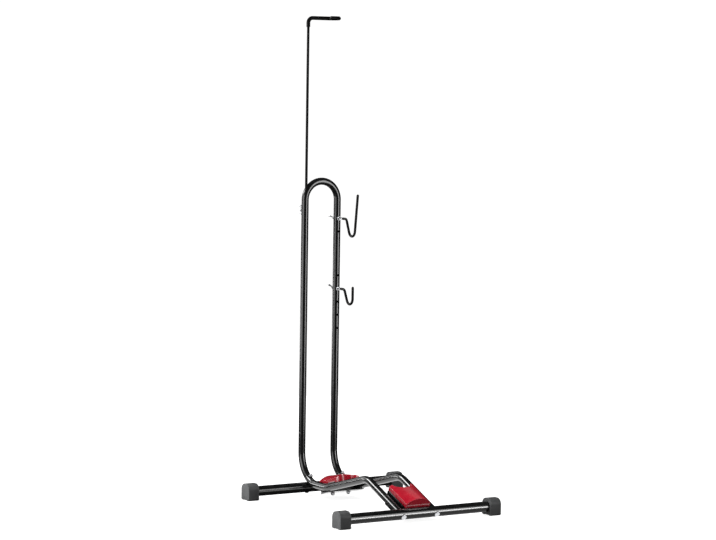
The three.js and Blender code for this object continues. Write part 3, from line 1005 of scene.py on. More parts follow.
FINISHES = {
    Slot.PAINT: Coat(
        "black_powder_coat", grey(0.006, 0.1), grey(0.05), (0.16, 0.24), coat=0.35, coat_roughness=0.06,
        relief_scale=420.0, relief_height=0.00003, relief_strength=0.25, edge_amount=0.35, dust=0.03,
    ),
    Slot.CAP: Coat(
        "charcoal_moulded_plastic", grey(0.068, 0.04), grey(0.2), (0.40, 0.52), relief=Grain.PEBBLES,
        relief_scale=1100.0, relief_height=0.00008, relief_strength=0.35, edge_radius=0.0015,
    ),
    # The pad's pink edge colour is a painted highlight along its ridges, arch and notch, not wear.
    Slot.PAD: Coat(
        "red_gloss_plastic", (0.52, 0.006, 0.024, 1.0), (0.95, 0.26, 0.33, 1.0), (0.2, 0.3), coat=0.6,
        coat_roughness=0.08, relief_scale=260.0, relief_height=0.00004, edge_radius=0.0028, edge_amount=0.95,
    ),
    Slot.ZINC: Coat(
        "zinc_plate", (0.70, 0.71, 0.73, 1.0), (0.86, 0.86, 0.85, 1.0), (0.18, 0.34), metallic=1.0,
        relief_scale=900.0, edge_radius=0.0004, edge_amount=0.6, dust=0.02,
    ),
    Slot.RUBBER: Coat(
        "black_soft_tube", grey(0.003), grey(0.012), (0.4, 0.55), relief=Grain.PEBBLES,
        relief_scale=1600.0, relief_height=0.00003, edge_amount=0.2, dust=0.01, specular=0.22,
    ),
    Slot.VINYL: Coat(
        "black_dipped_vinyl", grey(0.003), grey(0.012), (0.34, 0.46),
        relief_scale=200.0, relief_height=0.00006, edge_amount=0.2, dust=0.01, specular=0.25,
    ),
    Slot.NYLON: Coat(
        "natural_nylon", (0.68, 0.66, 0.60, 1.0), (0.75, 0.74, 0.7, 1.0), (0.4, 0.5), relief=Grain.PEBBLES,
        relief_scale=1400.0, relief_height=0.00003,
    ),
}
ROD_COAT = Coat(
    "satin_black_rod", grey(0.003), grey(0.02), (0.36, 0.48), relief_scale=420.0,
    relief_height=0.00003, relief_strength=0.25, edge_amount=0.3, dust=0.01, specular=0.2,
)


class Workshop:
    """Holds the shared layout and materials, and hands each finished piece to the frame."""

    def __init__(self) -> None:
        """Builds the node groups and every material."""
        self.layout = Layout()
        effects = Effects()
        self.materials = {slot: coat.build(effects) for slot, coat in FINISHES.items()}
        self.rod_material = ROD_COAT.build(effects)

    def finish(
        self, piece: Piece, body: str, slot: Slot, nodes: Sequence[str] = (), angle: float = 32.0
    ) -> None:
        """Scales, shades and dresses a piece and gives it to its body.

        Args:
            piece: The piece, in millimetres.
            body: The CAD body that it rides on.
            slot: The record's slot for its finish.
            nodes: The CAD nodes that it stands for.
            angle: Edges sharper than this, in degrees, stay sharp in shading.
        """
        piece.data.transform(Matrix.Scale(MILLIMETRE, 4))
        piece.data.shade_smooth()
        piece.data.set_sharp_from_angle(angle=math.radians(angle))
        piece.data.materials.clear()
        piece.data.materials.append(self.materials[slot])
        if nodes:
            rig.replaces(piece, *nodes)
        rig.slot(piece, slot.value)
        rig.ride(piece, body)
        LOG.info("%s: %d faces, on %s", piece.name, len(piece.data.polygons), body)

    def keep(self, node: str, slot: Slot) -> None:
        """Gives a CAD node that stays in view its material."""
        kept = frame["nodes"][node]
        kept.data.materials.clear()
        kept.data.materials.append(self.materials[slot])
        LOG.info("%s: kept, in %s", node, slot.value)


# Fasteners


def hexagon(width: float) -> Outline:
    """The corners of a hexagon of a width across flats."""
    radius = width / 2 / math.cos(math.pi / 6)
    return [(radius * math.cos(math.pi * i / 3), radius * math.sin(math.pi * i / 3)) for i in range(6)]


@dataclass(frozen=True)
class Nut:
    """A hexagon nut, with a flange where its width is given."""

    width: float = 13.0
    height: float = 6.5
    flange_width: float = 0.0
    flange_height: float = 1.6
    flange_edge: float = 0.3
    flange_bevel: float = 0.25
    flange_overlap: float = 0.5
    bevel_shares: tuple[float, float] = (0.55, 0.75)
    bore: float = 4.2
    bore_edge: float = 0.6
    chamfer_angle: float = 30.0
    corner_margin: float = 0.3
    flat_margin: float = 0.2
    least_step: float = 0.01
    blank_margin: float = 1.0
    edge: float = 0.18

    def build(self, name: str, place: Matrix) -> Piece:
        """Makes the nut with its seat at zero and its free face up, then places it.

        Args:
            name: The piece's name.
            place: Where it goes.

        Returns:
            The nut, in millimetres.
        """
        corner = self.width / 2 / math.cos(math.pi / 6) + self.corner_margin
        flat = self.width / 2 - self.flat_margin
        drop = (corner - flat) * math.tan(math.radians(self.chamfer_angle))
        base = 0.0 if self.flange_width else drop
        top = self.height + (self.flange_height if self.flange_width else 0.0)
        bore, eased = self.bore, self.bore + self.bore_edge
        profile = [
            (bore, self.bore_edge), (eased, 0.0), (flat if base else corner, 0.0),
            (corner, base + self.least_step), (corner, top - drop), (flat, top),
            (eased, top), (bore, top - self.bore_edge),
        ]
        margin = self.blank_margin
        nut = object_from(name, prism_mesh(hexagon(self.width), -margin, top + margin))
        combine(nut, turned_mesh(profile, closed=True), Boolean.KEEP)
        if self.flange_width:
            rim, rise = self.flange_width / 2, self.flange_height
            lower, upper = (rise * share for share in self.bevel_shares)
            edge, overlap = self.flange_edge, self.flange_overlap
            plate = [
                (eased, 0.0), (rim - edge, 0.0), (rim, edge), (rim, lower), (rim - self.flange_bevel, upper),
                (self.width / 2 - overlap, rise + overlap), (eased, rise + overlap),
            ]
            combine(nut, turned_mesh(plate, closed=True), Boolean.JOIN)
        soften(nut, self.edge, segments=1)
        nut.data.transform(place)
        return nut


@dataclass(frozen=True)
class Washer:
    """A flat washer."""

    width: float = 18.0
    height: float = 1.6
    bore: float = 4.4
    edge: float = 0.3

    def build(self, name: str, place: Matrix) -> Piece:
        """Makes the washer with its lower face at zero, then places it."""
        rim, bore, edge, high = self.width / 2, self.bore, self.edge, self.height
        profile = [
            (bore, edge), (bore + edge, 0.0), (rim - edge, 0.0), (rim, edge),
            (rim, high - edge), (rim - edge, high), (bore + edge, high), (bore, high - edge),
        ]
        return object_from(name, moved(turned_mesh(profile, closed=True), place))


@dataclass(frozen=True)
class WingHead:
    """The hub and two wings of a wing nut or wing bolt."""

    hub_width: float = 15.0
    hub_top: float = 11.0
    hub_height: float = 9.0
    hub_edge: float = 0.7
    foot_edge: float = 0.4
    foot_height: float = 1.6
    foot_draft: float = 0.1
    shoulder_width: float = 0.5
    shoulder_drop: float = 2.0
    bore: float = 0.0
    bore_edge: float = 0.5
    bore_margin: float = 0.7
    span: float = 40.0
    height: float = 22.0
    thickness: float = 3.0
    wing_edge: float = 0.7
    wing_lift: float = 0.6
    wing_width: float = 6.4
    wing_length: float = 12.5
    root_reach: float = 6.0
    root_drop: float = 1.2
    root_margin: float = 0.4
    root_radii: tuple[float, float] = (1.0, 2.5)
    blade_radius: float = 6.0
    tip_radius: float = 3.2

    def _hub(self) -> Mesh:
        """The turned hub, with its bore where it has one."""
        low, high, rise, edge = self.hub_width / 2, self.hub_top / 2, self.hub_height, self.hub_edge
        outer = [
            (low - self.foot_edge, 0.0), (low, self.foot_edge), (low - self.foot_draft, self.foot_height),
            (high + self.shoulder_width, rise - self.shoulder_drop), (high, rise - edge), (high - edge, rise),
        ]
        if not self.bore:
            return turned_mesh([(0.0, 0.0), *outer, (0.0, rise)])
        bore, ease = self.bore, self.bore_edge
        inner = [(bore + ease, rise), (bore, rise - ease), (bore, ease), (bore + ease, 0.0)]
        return turned_mesh([*inner[2:], *outer, *inner[:2]], closed=True)

    def _wings(self) -> list[Outline]:
        """The outlines of the wings: one across the hub, or one on each side of the bore."""
        tip, root = self.span / 2, self.hub_height - self.root_drop
        lower, upper = self.root_radii
        half = [
            (self.root_reach, self.wing_lift, lower),
            (tip, self.height - self.wing_length, self.blade_radius),
            (tip, self.height, self.tip_radius),
            (tip - self.wing_width, self.height, self.tip_radius),
            (self.hub_top / 2 + self.root_margin, root, upper),
        ]
        if self.bore:
            near = self.bore + self.bore_margin
            half += [(near, root, 0.0), (near, self.wing_lift, 0.0)]
        mirrored = [(-x, z, radius) for x, z, radius in reversed(half)]
        shapes = [half, mirrored] if self.bore else [half + mirrored]
        return [rounded_outline(corners) for corners in shapes]

    def build(self, name: str) -> Piece:
        """Makes the head with its seat at zero and its wings towards +Z.

        Args:
            name: The piece's name.

        Returns:
            The head, in millimetres.
        """
        head = object_from(name, self._hub())
        for outline in self._wings():
            wing = object_from("wing", prism_mesh(outline, -self.thickness / 2, self.thickness / 2))
            soften(wing, self.wing_edge, segments=3, angle=50)
            mesh = bmesh.new()
            mesh.from_mesh(wing.data)
            discard(wing)
            combine(head, moved(mesh, Matrix.Rotation(math.pi / 2, 4, "X")), Boolean.JOIN)
        return head


FLANGE_NUT = Nut(flange_width=17.0)


# Base


@dataclass
class Base:
    """The two crossbars, their end caps and the bolts that hold the rails to them."""

    workshop: Workshop
    bar_wall: float = 1.8
    end_wall: float = 5.0
    cap_length: float = 44.0
    cap_depth: float = 60.0
    cap_height: float = 62.0
    cap_edge: float = 2.4
    edge_steps: int = 4
    corner_steps: int = 12
    crown_radius: float = 20.0
    foot_radius: float = 4.0
    least_foot: float = 0.8
    relief_width: float = 30.0
    relief_depth: float = 1.6
    relief_ramp: float = 0.6
    relief_radius: float = 0.2
    relief_draft: float = 0.5
    mouth_edge: float = 1.0
    mouth_bevel: float = 0.8
    dome_width: float = 20.0
    dome_height: float = 5.5
    dome_sink: float = 3.2
    dome_edge: float = 0.5
    dome_steps: int = 12
    plug_length: float = 22.0
    point_length: float = 1.3
    bolt_past_seat: float = 10.5
    bolt_thread: float = 14.0
    heel_nut_spin: float = math.pi / 6

    def build(self) -> None:
        """Makes every piece of the base."""
        layout = self.workshop.layout
        plug_end, heel_seat = layout.bar_radius + self.plug_length, self._heel_seat()
        for end in End:
            self._bar(end)
            for side in Side:
                self._cap(end, side)
        for side in Side:
            self._bolt(End.FRONT, side, layout.slope_angle, plug_end, self.point_length)
            self._bolt(End.REAR, side, layout.heel_angle, heel_seat + self.bolt_past_seat, self.bolt_thread)
            axis = in_side(layout.heel_angle)
            place = lying(layout.rail_on_bar(End.REAR, side) + axis * heel_seat, axis, self.heel_nut_spin)
            nut = Nut().build(f"{side.word}_heel_nut", place)
            self.workshop.finish(nut, "base", Slot.ZINC, [f"rear_bar_nut_{side.word}"])
            self.workshop.keep(f"{side.word}_rail_end_plug", Slot.ZINC)

    def _heel_seat(self) -> float:
        """Distance of the heel nuts' seat from the rear crossbar's axis."""
        layout = self.workshop.layout
        low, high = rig.box("rear_bar_nut_left")
        centre = (Vector(low) + Vector(high)) / 2 / MILLIMETRE
        away = centre - point(centre.x, layout.rear_y, layout.bar_height)
        return away.dot(in_side(layout.heel_angle)) - Nut().height / 2

    def _bar(self, end: End) -> None:
        """Makes a crossbar."""
        layout = self.workshop.layout
        reach = layout.width / 2 - self.end_wall - SEAT_GAP
        start, stop = (point(x, layout.bar_y(end), layout.bar_height) for x in (-reach, reach))
        radius = layout.bar_radius
        tube = tube_mesh(straight_path(start, stop), radius, radius - self.bar_wall, BAR_SIDES)
        bar = object_from(f"{end.word}_bar_tube", tube)
        self.workshop.finish(bar, "base", Slot.PAINT, [f"{end.word}_crossbar"])

    def _cap_outline(self, inset: float) -> Outline:
        """The cap's outline in the YZ plane, drawn in by an inset."""
        half, low, high = self.cap_depth / 2 - inset, inset, self.cap_height - inset
        crown = self.crown_radius + self.cap_edge - inset
        foot = max(self.least_foot, self.foot_radius + self.cap_edge - inset)
        step, flat = self.relief_width / 2, self.relief_width / 2 - self.relief_ramp
        roof, bend = self.relief_depth + inset * self.relief_draft, self.relief_radius
        corners = [
            (-step, low, bend), (-flat, roof, bend), (flat, roof, bend), (step, low, bend),
            (half, low, foot), (half, high, crown), (-half, high, crown), (-half, low, foot),
        ]
        return rounded_outline(corners, self.corner_steps)

    def _cap(self, end: End, side: Side) -> None:
        """Makes an end cap: a closed block with a mouth for the crossbar."""
        layout = self.workshop.layout
        edge, lip, length = self.cap_edge, self.mouth_edge, self.cap_length
        turns = quarter_turn(self.edge_steps)
        sections = [(edge * (1 - math.cos(a)), edge * (1 - math.sin(a))) for a in turns]
        sections += [(length - lip * (1 - math.sin(a)), lip * (1 - math.cos(a))) for a in turns]
        mesh = bmesh.new()
        rings = []
        for x, inset in sections:
            rings.append([mesh.verts.new(point(x, y, z)) for y, z in self._cap_outline(inset)])
        radius, bevel = layout.bar_radius + SEAT_GAP, self.mouth_bevel
        centre = Vector((0.0, layout.bar_height))
        spokes = [(vertex.co.yz - centre).normalized() for vertex in rings[-1]]
        for x, reach in ((length, radius + bevel), (length - bevel, radius), (self.end_wall, radius)):
            places = [centre + spoke * reach for spoke in spokes]
            rings.append([mesh.verts.new(point(x, y, z)) for y, z in places])
        skin_solid(mesh, rings)
        cap = object_from(f"{end.word}_{side.word}_cap", mesh)
        turn = Matrix.Rotation(math.pi if side is Side.RIGHT else 0.0, 4, "Z")
        outer_end = point(side.value * layout.width / 2, layout.bar_y(end), 0)
        cap.data.transform(Matrix.Translation(outer_end) @ turn)
        self.workshop.finish(cap, "base", Slot.CAP, [f"end_cap_{end.word}_{side.word}"], angle=40)

    def _bolt(self, end: End, side: Side, angle: float, reach: float, thread: float) -> None:
        """Makes a bolt whose domed head is hollowed to the crossbar.

        Args:
            end: The end of the stand.
            side: The side of the stand.
            angle: Angle of the bolt from +Y to +Z, from its head to its point.
            reach: Distance of its point beyond the crossbar's axis.
            thread: Length of its thread.
        """
        layout = self.workshop.layout
        seat = layout.bar_radius + SEAT_GAP
        half, low, edge, high = self.dome_width / 2, -self.dome_sink, self.dome_edge, self.dome_height
        turns = quarter_turn(self.dome_steps)[1:-1]
        dome = [(half * math.cos(a), edge + (high - edge) * math.sin(a)) for a in turns]
        profile = [(0.0, low), (half, low), (half, edge), *dome, (0.0, high)]
        head = moved(turned_mesh(profile, DOME_SIDES), Matrix.Translation(UP * seat))
        bolt = object_from(f"{end.word}_{side.word}_bolt", head)
        across = point(self.dome_width, 0, 0)
        combine(bolt, drill_mesh(-across, across, seat, SEAT_SIDES))
        length = reach + seat + high / 2
        combine(bolt, shank_mesh(BOLT_RADIUS, length, length - thread, UP * (seat + high / 2)), Boolean.JOIN)
        place = Matrix.Translation(layout.rail_on_bar(end, side))
        bolt.data.transform(place @ Matrix.Rotation(angle + math.pi / 2, 4, "X"))
        self.workshop.finish(bolt, "base", Slot.ZINC, [f"{end.word}_bar_bolt_{side.word}"])


# Rails


@dataclass
class Rails:
    """The two bent rails with their saddle cuts at the front crossbar."""

    workshop: Workshop
    saddle_width: float = 60.0

    def build(self) -> None:
        """Makes both rails."""
        layout = self.workshop.layout
        half = point(self.saddle_width / 2, 0, 0)
        for side in Side:
            foot = layout.rail_on_bar(End.FRONT, side)
            path = rounded_path([
                Corner(point(foot.x, layout.leg_y, layout.joint_height - SEAT_GAP / 2)),
                Corner(point(foot.x, layout.leg_y, layout.low_height), layout.heel_radius),
                Corner(point(foot.x, layout.valley_y, layout.low_height), layout.valley_radius),
                Corner(point(foot.x, layout.crest_y, layout.crest_height), layout.crest_radius),
                Corner(foot),
            ])
            tube = tube_mesh(path, layout.tube_radius, layout.bore_radius)
            rail = object_from(f"{side.word}_bent_rail", tube)
            combine(rail, drill_mesh(foot - half, foot + half, layout.bar_radius + SEAT_GAP, SEAT_SIDES))
            self.workshop.finish(rail, "base", Slot.PAINT, [f"{side.word}_rail"])
            self.workshop.keep(f"{side.word}_joint_sleeve", Slot.ZINC)


# Wheel pads


@dataclass
class WheelPad:
    """A moulded tyre rest on its pedestal, with its bracket, studs and nuts, lying along the rails."""

    workshop: Workshop
    end: End
    inset: float
    bracket_shift: float
    stud_tail: float
    lift: float = 17.2
    width: float = 100.0
    length: float = 128.0
    wall: float = 15.8
    crown: float = 20.0
    inner_crown: float = 11.0
    edge: float = 2.2
    notch_radius: float = 38.0
    notch_offset: float = 3.0
    foot_width: float = 96.0
    foot_inner: float = 24.0
    foot_outer: float = 48.0
    foot_corner: float = 2.0
    foot_edge: float = 0.8
    foot_gap: float = 0.05
    stud_spacing: float = 68.0
    stud_depth: float = 12.0
    nut_spin: float = 0.3
    bracket_thickness: float = 3.0
    bracket_length: float = 62.0
    bracket_corner: float = 4.0
    bracket_edge: float = 0.5
    flange_reach: float = 7.0
    cheek_gap: float = 1.5
    cheek_length: float = 110.0
    cheek_shift: float = 5.0
    cheek_lift: float = 20.0
    cheek_low_corner: float = 2.0
    cheek_top_corner: float = 5.0

    def build(self) -> None:
        """Makes every piece of the rest."""
        layout, word = self.workshop.layout, self.end.word
        place = layout.pad_seat(self.end, self.inset)
        turn = Matrix.Rotation(0.0 if self.end is End.REAR else math.pi, 4, "Z")
        pad_place = place @ Matrix.Translation(UP * self.lift) @ turn
        pad, core, bracket = self._pad(), self._core(), self._bracket()
        for piece, spot in ((pad, pad_place), (core, pad_place), (bracket, place)):
            piece.data.transform(spot)
        self.workshop.finish(pad, "base", Slot.PAD, [f"{word}_wheel_pad"], angle=30)
        self.workshop.finish(core, "base", Slot.CAP)
        self.workshop.finish(bracket, "base", Slot.PAINT, [f"{word}_pad_bracket"])
        under = -layout.tube_radius - 2 * SEAT_GAP - self.bracket_thickness
        low = under - FLANGE_NUT.flange_height - FLANGE_NUT.height - self.stud_tail
        high = self.stud_depth - layout.tube_radius - SEAT_GAP
        for side, x in self._stud_columns():
            shank = shank_mesh(BOLT_RADIUS, high - low, high - under, point(x, 0, high))
            stud = object_from(f"{word}_{side.word}_stud", moved(shank, place))
            self.workshop.finish(stud, "base", Slot.ZINC, [f"{word}_pad_stud_{side.word}"])
            seat = place @ lying(point(x, 0, under), DOWN, self.nut_spin * side.value)
            nut = FLANGE_NUT.build(f"{word}_{side.word}_pad_nut", seat)
            self.workshop.finish(nut, "base", Slot.ZINC, [f"{word}_pad_nut_{side.word}"])

    def _stud_columns(self) -> list[tuple[Side, float]]:
        """Each side with X of its stud."""
        return [(side, side.value * self.stud_spacing / 2) for side in Side]

    def _stud_holes(self, piece: Piece, low: float, high: float) -> None:
        """Drills a piece for both studs."""
        for _, x in self._stud_columns():
            combine(piece, drill_mesh(point(x, 0, low), point(x, 0, high), BOLT_RADIUS + HOLE_GAP))

    def _inner_edge(self, x: float) -> float:
        """Y of the pad's inner edge, which follows the notch."""
        rise = math.sqrt(max(self.notch_radius**2 - x**2, 0.0))
        return max(-self.length / 2, -self.length / 2 - self.notch_offset + rise)

    def _columns(self) -> list[float]:
        """X of the pad's columns, spaced evenly along the notch."""
        notch, beside = 16, 4
        turn = math.asin(math.sqrt(1 - (self.notch_offset / self.notch_radius) ** 2))
        inside = [self.notch_radius * math.sin(turn * i / notch) for i in range(-notch, notch + 1)]
        edge, half = inside[-1], self.width / 2
        outside = [edge + (half - edge) * i / beside for i in range(1, beside + 1)]
        return [-x for x in reversed(outside)] + inside + outside

    def _top(self, x: float, y: float) -> float:
        """Height of the pad's top."""
        crown = self.inner_crown + (self.crown - self.inner_crown) * (y / self.length + 0.5)
        return self.wall + crown * (1 - (2 * x / self.width) ** 2)

    def _pad(self) -> Piece:
        """Makes the pad: a crowned block with a round notch and rounded edges.

        Returns:
            The pad with its outer end towards +Y, in millimetres.
        """
        mesh = bmesh.new()
        columns, rows, levels = self._columns(), 26, 4
        made: dict[tuple[int, int, int], Any] = {}

        def vertex(level: int, i: int, j: int) -> Any:
            """The vertex at one place of the grid, made when it is first asked for."""
            key = (level, i, j)
            if key not in made:
                x = columns[i]
                near, far = self._inner_edge(x), self.length / 2
                y = near + (far - near) * j / rows
                made[key] = mesh.verts.new(point(x, y, self._top(x, y) * level / levels))
            return made[key]

        last = len(columns) - 1
        for i in range(last):
            for j in range(rows):
                for level in (0, levels):
                    square = [(i, j), (i + 1, j), (i + 1, j + 1), (i, j + 1)]
                    mesh.faces.new([vertex(level, a, b) for a, b in square])
        rim = [(i, 0) for i in range(last)] + [(last, j) for j in range(rows)]
        rim += [(i, rows) for i in range(last, 0, -1)] + [(0, j) for j in range(rows, 0, -1)]
        for (a, b), (c, d) in zip(rim, rim[1:] + rim[:1]):
            for level in range(levels):
                corners = [(level, a, b), (level, c, d), (level + 1, c, d), (level + 1, a, b)]
                mesh.faces.new([vertex(*corner) for corner in corners])
        pad = object_from(f"{self.end.word}_tyre_rest", mesh)
        soften(pad, self.edge, segments=4, angle=28)
        return pad

    def _core(self) -> Piece:
        """Makes the dark pedestal that carries the pad and takes its studs.

        Returns:
            The pedestal in the pad's own frame, in millimetres.
        """
        half, depth = self.foot_width / 2, self.lift + self.workshop.layout.tube_radius
        outline = rounded_box(-half, half, -self.foot_inner, self.foot_outer, self.foot_corner)
        core = object_from(f"{self.end.word}_rest_core", prism_mesh(outline, -depth, -self.foot_gap))
        soften(core, self.foot_edge)
        self._stud_holes(core, -depth - OVERRUN, self.stud_depth - depth)
        return core

    def _bracket(self) -> Piece:
        """Makes the bracket: a plate under the rails with a cheek on each side of the pad.

        Returns:
            The bracket in the rails' plane, in millimetres.
        """
        layout, thickness = self.workshop.layout, self.bracket_thickness
        top = -layout.tube_radius - SEAT_GAP
        low = top - thickness
        reach, half, shift = layout.rail_x + self.flange_reach, self.bracket_length / 2, self.bracket_shift
        plate = rounded_box(-reach, reach, shift - half, shift + half, self.bracket_corner)
        bracket = object_from(f"{self.end.word}_rest_bracket", prism_mesh(plate, low, top))
        inner = layout.rail_x - layout.tube_radius - self.cheek_gap - thickness
        middle = -self.end.value * self.cheek_shift
        near, far = middle - self.cheek_length / 2, middle + self.cheek_length / 2
        bottom, crown = (low, self.cheek_low_corner), (self.cheek_lift, self.cheek_top_corner)
        blade = rounded_outline([(near, *bottom), (far, *bottom), (far, *crown), (near, *crown)])
        upright = Matrix(((0, 0, 1, 0), (1, 0, 0, 0), (0, 1, 0, 0), (0, 0, 0, 1)))
        for start in (inner, -inner - thickness):
            combine(bracket, moved(prism_mesh(blade, start, start + thickness), upright), Boolean.JOIN)
        self._stud_holes(bracket, low - OVERRUN, top + OVERRUN)
        soften(bracket, self.bracket_edge)
        return bracket


# Hoop


@dataclass
class Hoop:
    """The tall hoop with its hole row, joint screws and clamp boss."""

    workshop: Workshop
    hole_depths: tuple[float, ...] = (70.0, 120.0, 286.0, 336.0, 386.0, 436.0, 486.0)
    entry_height: float = 90.0
    boss_width: float = 15.0
    boss_edge: float = 0.6
    saddle_reach: float = 30.0
    saddle_ease: float = 0.15
    bead_radius: float = 1.0
    bead_ripple: float = 0.12
    bead_ripples: int = 18
    bead_sides: int = 8
    bead_offset: float = 0.1
    bead_lift: float = 0.35
    screw_height: float = 258.0
    head_width: float = 11.0
    head_height: float = 3.4
    head_edge: float = 0.3
    head_crown: float = 1.8
    rim_share: float = 0.35
    screw_reach: float = 9.0
    screw_pitch: float = 1.0
    recess_length: float = 5.2
    recess_width: float = 1.1
    recess_depth: float = 1.5
    recess_turn: float = 0.4

    def build(self) -> None:
        """Makes every piece of the hoop."""
        self._tube()
        self._boss()
        for side in Side:
            self._screw(side)

    def _tube(self) -> None:
        """Makes the bent tube with its holes."""
        layout = self.workshop.layout
        x, y, top = layout.rail_x, layout.leg_y, layout.leg_top
        foot = layout.joint_height + SEAT_GAP / 2
        path = rounded_path([
            Corner(point(-x, y, foot)),
            Corner(point(-x, y, top + x), x),
            Corner(point(x, y, top + x), x),
            Corner(point(x, y, foot)),
        ], FINE_STEP / 2)
        hoop = object_from("tall_hoop", tube_mesh(path, layout.tube_radius, layout.bore_radius))
        across = REARWARD * (layout.tube_radius + OVERRUN)
        cutters = []
        for depth in self.hole_depths:
            centre = point(x, y, top - depth)
            cutters.append(drill_mesh(centre - across, centre + across, BOLT_RADIUS + HOLE_GAP))
        for side in Side:
            centre = point(side.value * x, y, self.screw_height)
            cutters.append(drill_mesh(centre, centre + across, SCREW_RADIUS + HOLE_GAP))
        clamp = point(-x, y, top - layout.clamp_depth)
        cutters.append(drill_mesh(clamp, clamp + across, BOLT_RADIUS + HOLE_GAP))
        entry = point(-x, layout.rod_y, top)
        cutters.append(drill_mesh(entry, entry + UP * self.entry_height, layout.rod_radius + SEAT_GAP))
        combine(hoop, merged(*cutters))
        self.workshop.finish(hoop, "base", Slot.PAINT, ["hoop"])

    def _boss(self) -> None:
        """Makes the welded boss behind the left leg, with its weld bead."""
        layout = self.workshop.layout
        centre = point(-layout.rail_x, layout.leg_y, layout.leg_top - layout.clamp_depth)
        seat, radius = layout.tube_radius + SEAT_GAP, self.boss_width / 2
        path = straight_path(centre, centre + REARWARD * (seat + layout.boss_length))
        tube = tube_mesh(path, radius, BOLT_RADIUS + HOLE_GAP, FINE_SIDES, self.boss_edge)
        boss = object_from("welded_boss", tube)
        upwards = UP * self.saddle_reach
        combine(boss, drill_mesh(centre - upwards, centre + upwards, seat, SEAT_SIDES))
        bead = bmesh.new()
        rings = []
        for turn in full_turn(BAR_SIDES):
            outward = point(math.cos(turn), 0, math.sin(turn))
            foot = outward * (radius + self.bead_offset)
            middle = centre + foot + REARWARD * (math.sqrt(seat**2 - foot.x**2) + self.bead_lift)
            size = self.bead_radius + self.bead_ripple * math.cos(turn * self.bead_ripples)
            turns = full_turn(self.bead_sides)
            spokes = [outward * math.cos(a) + REARWARD * math.sin(a) for a in turns]
            rings.append([bead.verts.new(middle + spoke * size) for spoke in spokes])
        skin_all(bead, [*rings, rings[0]])
        combine(boss, bead, Boolean.JOIN)
        combine(boss, drill_mesh(centre - upwards, centre + upwards, seat - self.saddle_ease, SEAT_SIDES))
        self.workshop.finish(boss, "base", Slot.PAINT, ["clamp_boss"])

    def _screw(self, side: Side) -> None:
        """Makes a pan head screw with a cross recess behind a leg."""
        layout = self.workshop.layout
        half, high, edge = self.head_width / 2, self.head_height, self.head_edge
        profile = [(0.0, 0.0), (half - edge, 0.0), (half, edge), (half, high * self.rim_share)]
        for a in quarter_turn(ROUND_STEPS)[1:-1]:
            rise = self.rim_share + (1 - self.rim_share) * math.sin(a)
            profile.append((half - self.head_crown * (1 - math.cos(a)), high * rise))
        screw = object_from(f"{side.word}_joint_screw", turned_mesh([*profile, (0.0, high)]))
        length, plain = self.screw_reach + high / 2, self.screw_pitch
        combine(screw, shank_mesh(SCREW_RADIUS, length, plain, UP * high / 2, self.screw_pitch), Boolean.JOIN)
        x, y = self.recess_length / 2, self.recess_width / 2
        for turn in (0.0, math.pi / 2):
            blade = prism_mesh([(-x, -y), (x, -y), (x, y), (-x, y)], high - self.recess_depth, high + OVERRUN)
            combine(screw, moved(blade, Matrix.Rotation(turn + self.recess_turn * side.value, 4, "Z")))
        behind = layout.leg_y + layout.tube_radius + SEAT_GAP
        screw.data.transform(lying(point(side.value * layout.rail_x, behind, self.screw_height), REARWARD))
        self.workshop.finish(screw, "base", Slot.ZINC, [f"hoop_screw_{side.word}"])


# Sliding rod


@dataclass
class Rod:
    """The sliding rod with its soft wheel hook and the wing bolt that clamps it."""

    workshop: Workshop
    height: float = 596.5
    depth: float = 142.0
    bend_radius: float = 18.0
    hook_reach: float = 80.0
    hook_radius: float = 30.0
    tip_length: float = 21.0
    sleeve_wall: float = 2.0
    sleeve_gap: float = 0.08
    sleeve_edge: float = 0.9
    sleeve_drop: float = 34.0
    tip_gap: float = 3.0
    bolt_root: float = 4.0
    bolt_plain: float = 2.0

    def _path(self, start: float, tip_gap: float) -> list[Station]:
        """The rod's route from a height up to its hook's tip."""
        layout = self.workshop.layout
        x, y, top = -layout.rail_x, layout.rod_y, layout.hoop_height + self.height
        far = x + self.hook_reach + self.hook_radius
        front = y - 2 * self.hook_radius
        tip = x + self.hook_reach - self.tip_length + tip_gap
        return rounded_path([
            Corner(point(x, y, start)),
            Corner(point(x, y, top), self.bend_radius),
            Corner(point(far, y, top), self.hook_radius),
            Corner(point(far, front, top), self.hook_radius),
            Corner(point(tip, front, top)),
        ], FINE_STEP)

    def build(self) -> None:
        """Makes the rod, the sleeve and the wing bolt."""
        layout = self.workshop.layout
        radius, top = layout.rod_radius, layout.hoop_height + self.height
        rod = object_from("hook_rod", rod_mesh(self._path(layout.leg_top - self.depth, 0.0), radius))
        self.workshop.finish(rod, "rod", Slot.PAINT, ["sliding_rod"])
        rod.data.materials[0] = self.workshop.rod_material
        path = self._path(top - self.sleeve_drop, self.tip_gap)
        outer, bore = radius + SEAT_GAP + self.sleeve_wall, radius + self.sleeve_gap
        sleeve = object_from("soft_hook_sleeve", tube_mesh(path, outer, bore, FINE_SIDES, self.sleeve_edge))
        self.workshop.finish(sleeve, "rod", Slot.RUBBER, ["wheel_hook_sleeve"])
        self.workshop.keep("rod_guide_bush", Slot.NYLON)
        self._wing_bolt()

    def _wing_bolt(self) -> None:
        """Makes the wing bolt behind the left leg."""
        layout = self.workshop.layout
        face = layout.leg_y + layout.tube_radius + 2 * SEAT_GAP + layout.boss_length
        point_y = layout.rod_y + layout.rod_radius + SEAT_GAP
        bolt = WingHead().build("clamp_wing_bolt")
        shank = shank_mesh(BOLT_RADIUS, face - point_y + self.bolt_root, self.bolt_plain, UP * self.bolt_root)
        combine(bolt, shank, Boolean.JOIN)
        place = Matrix.Translation(point(-layout.rail_x, face, layout.leg_top - layout.clamp_depth))
        bolt.data.transform(place @ turned_back(math.pi / 2))
        self.workshop.finish(bolt, "rod_clamp", Slot.ZINC, ["rod_wing_bolt"])


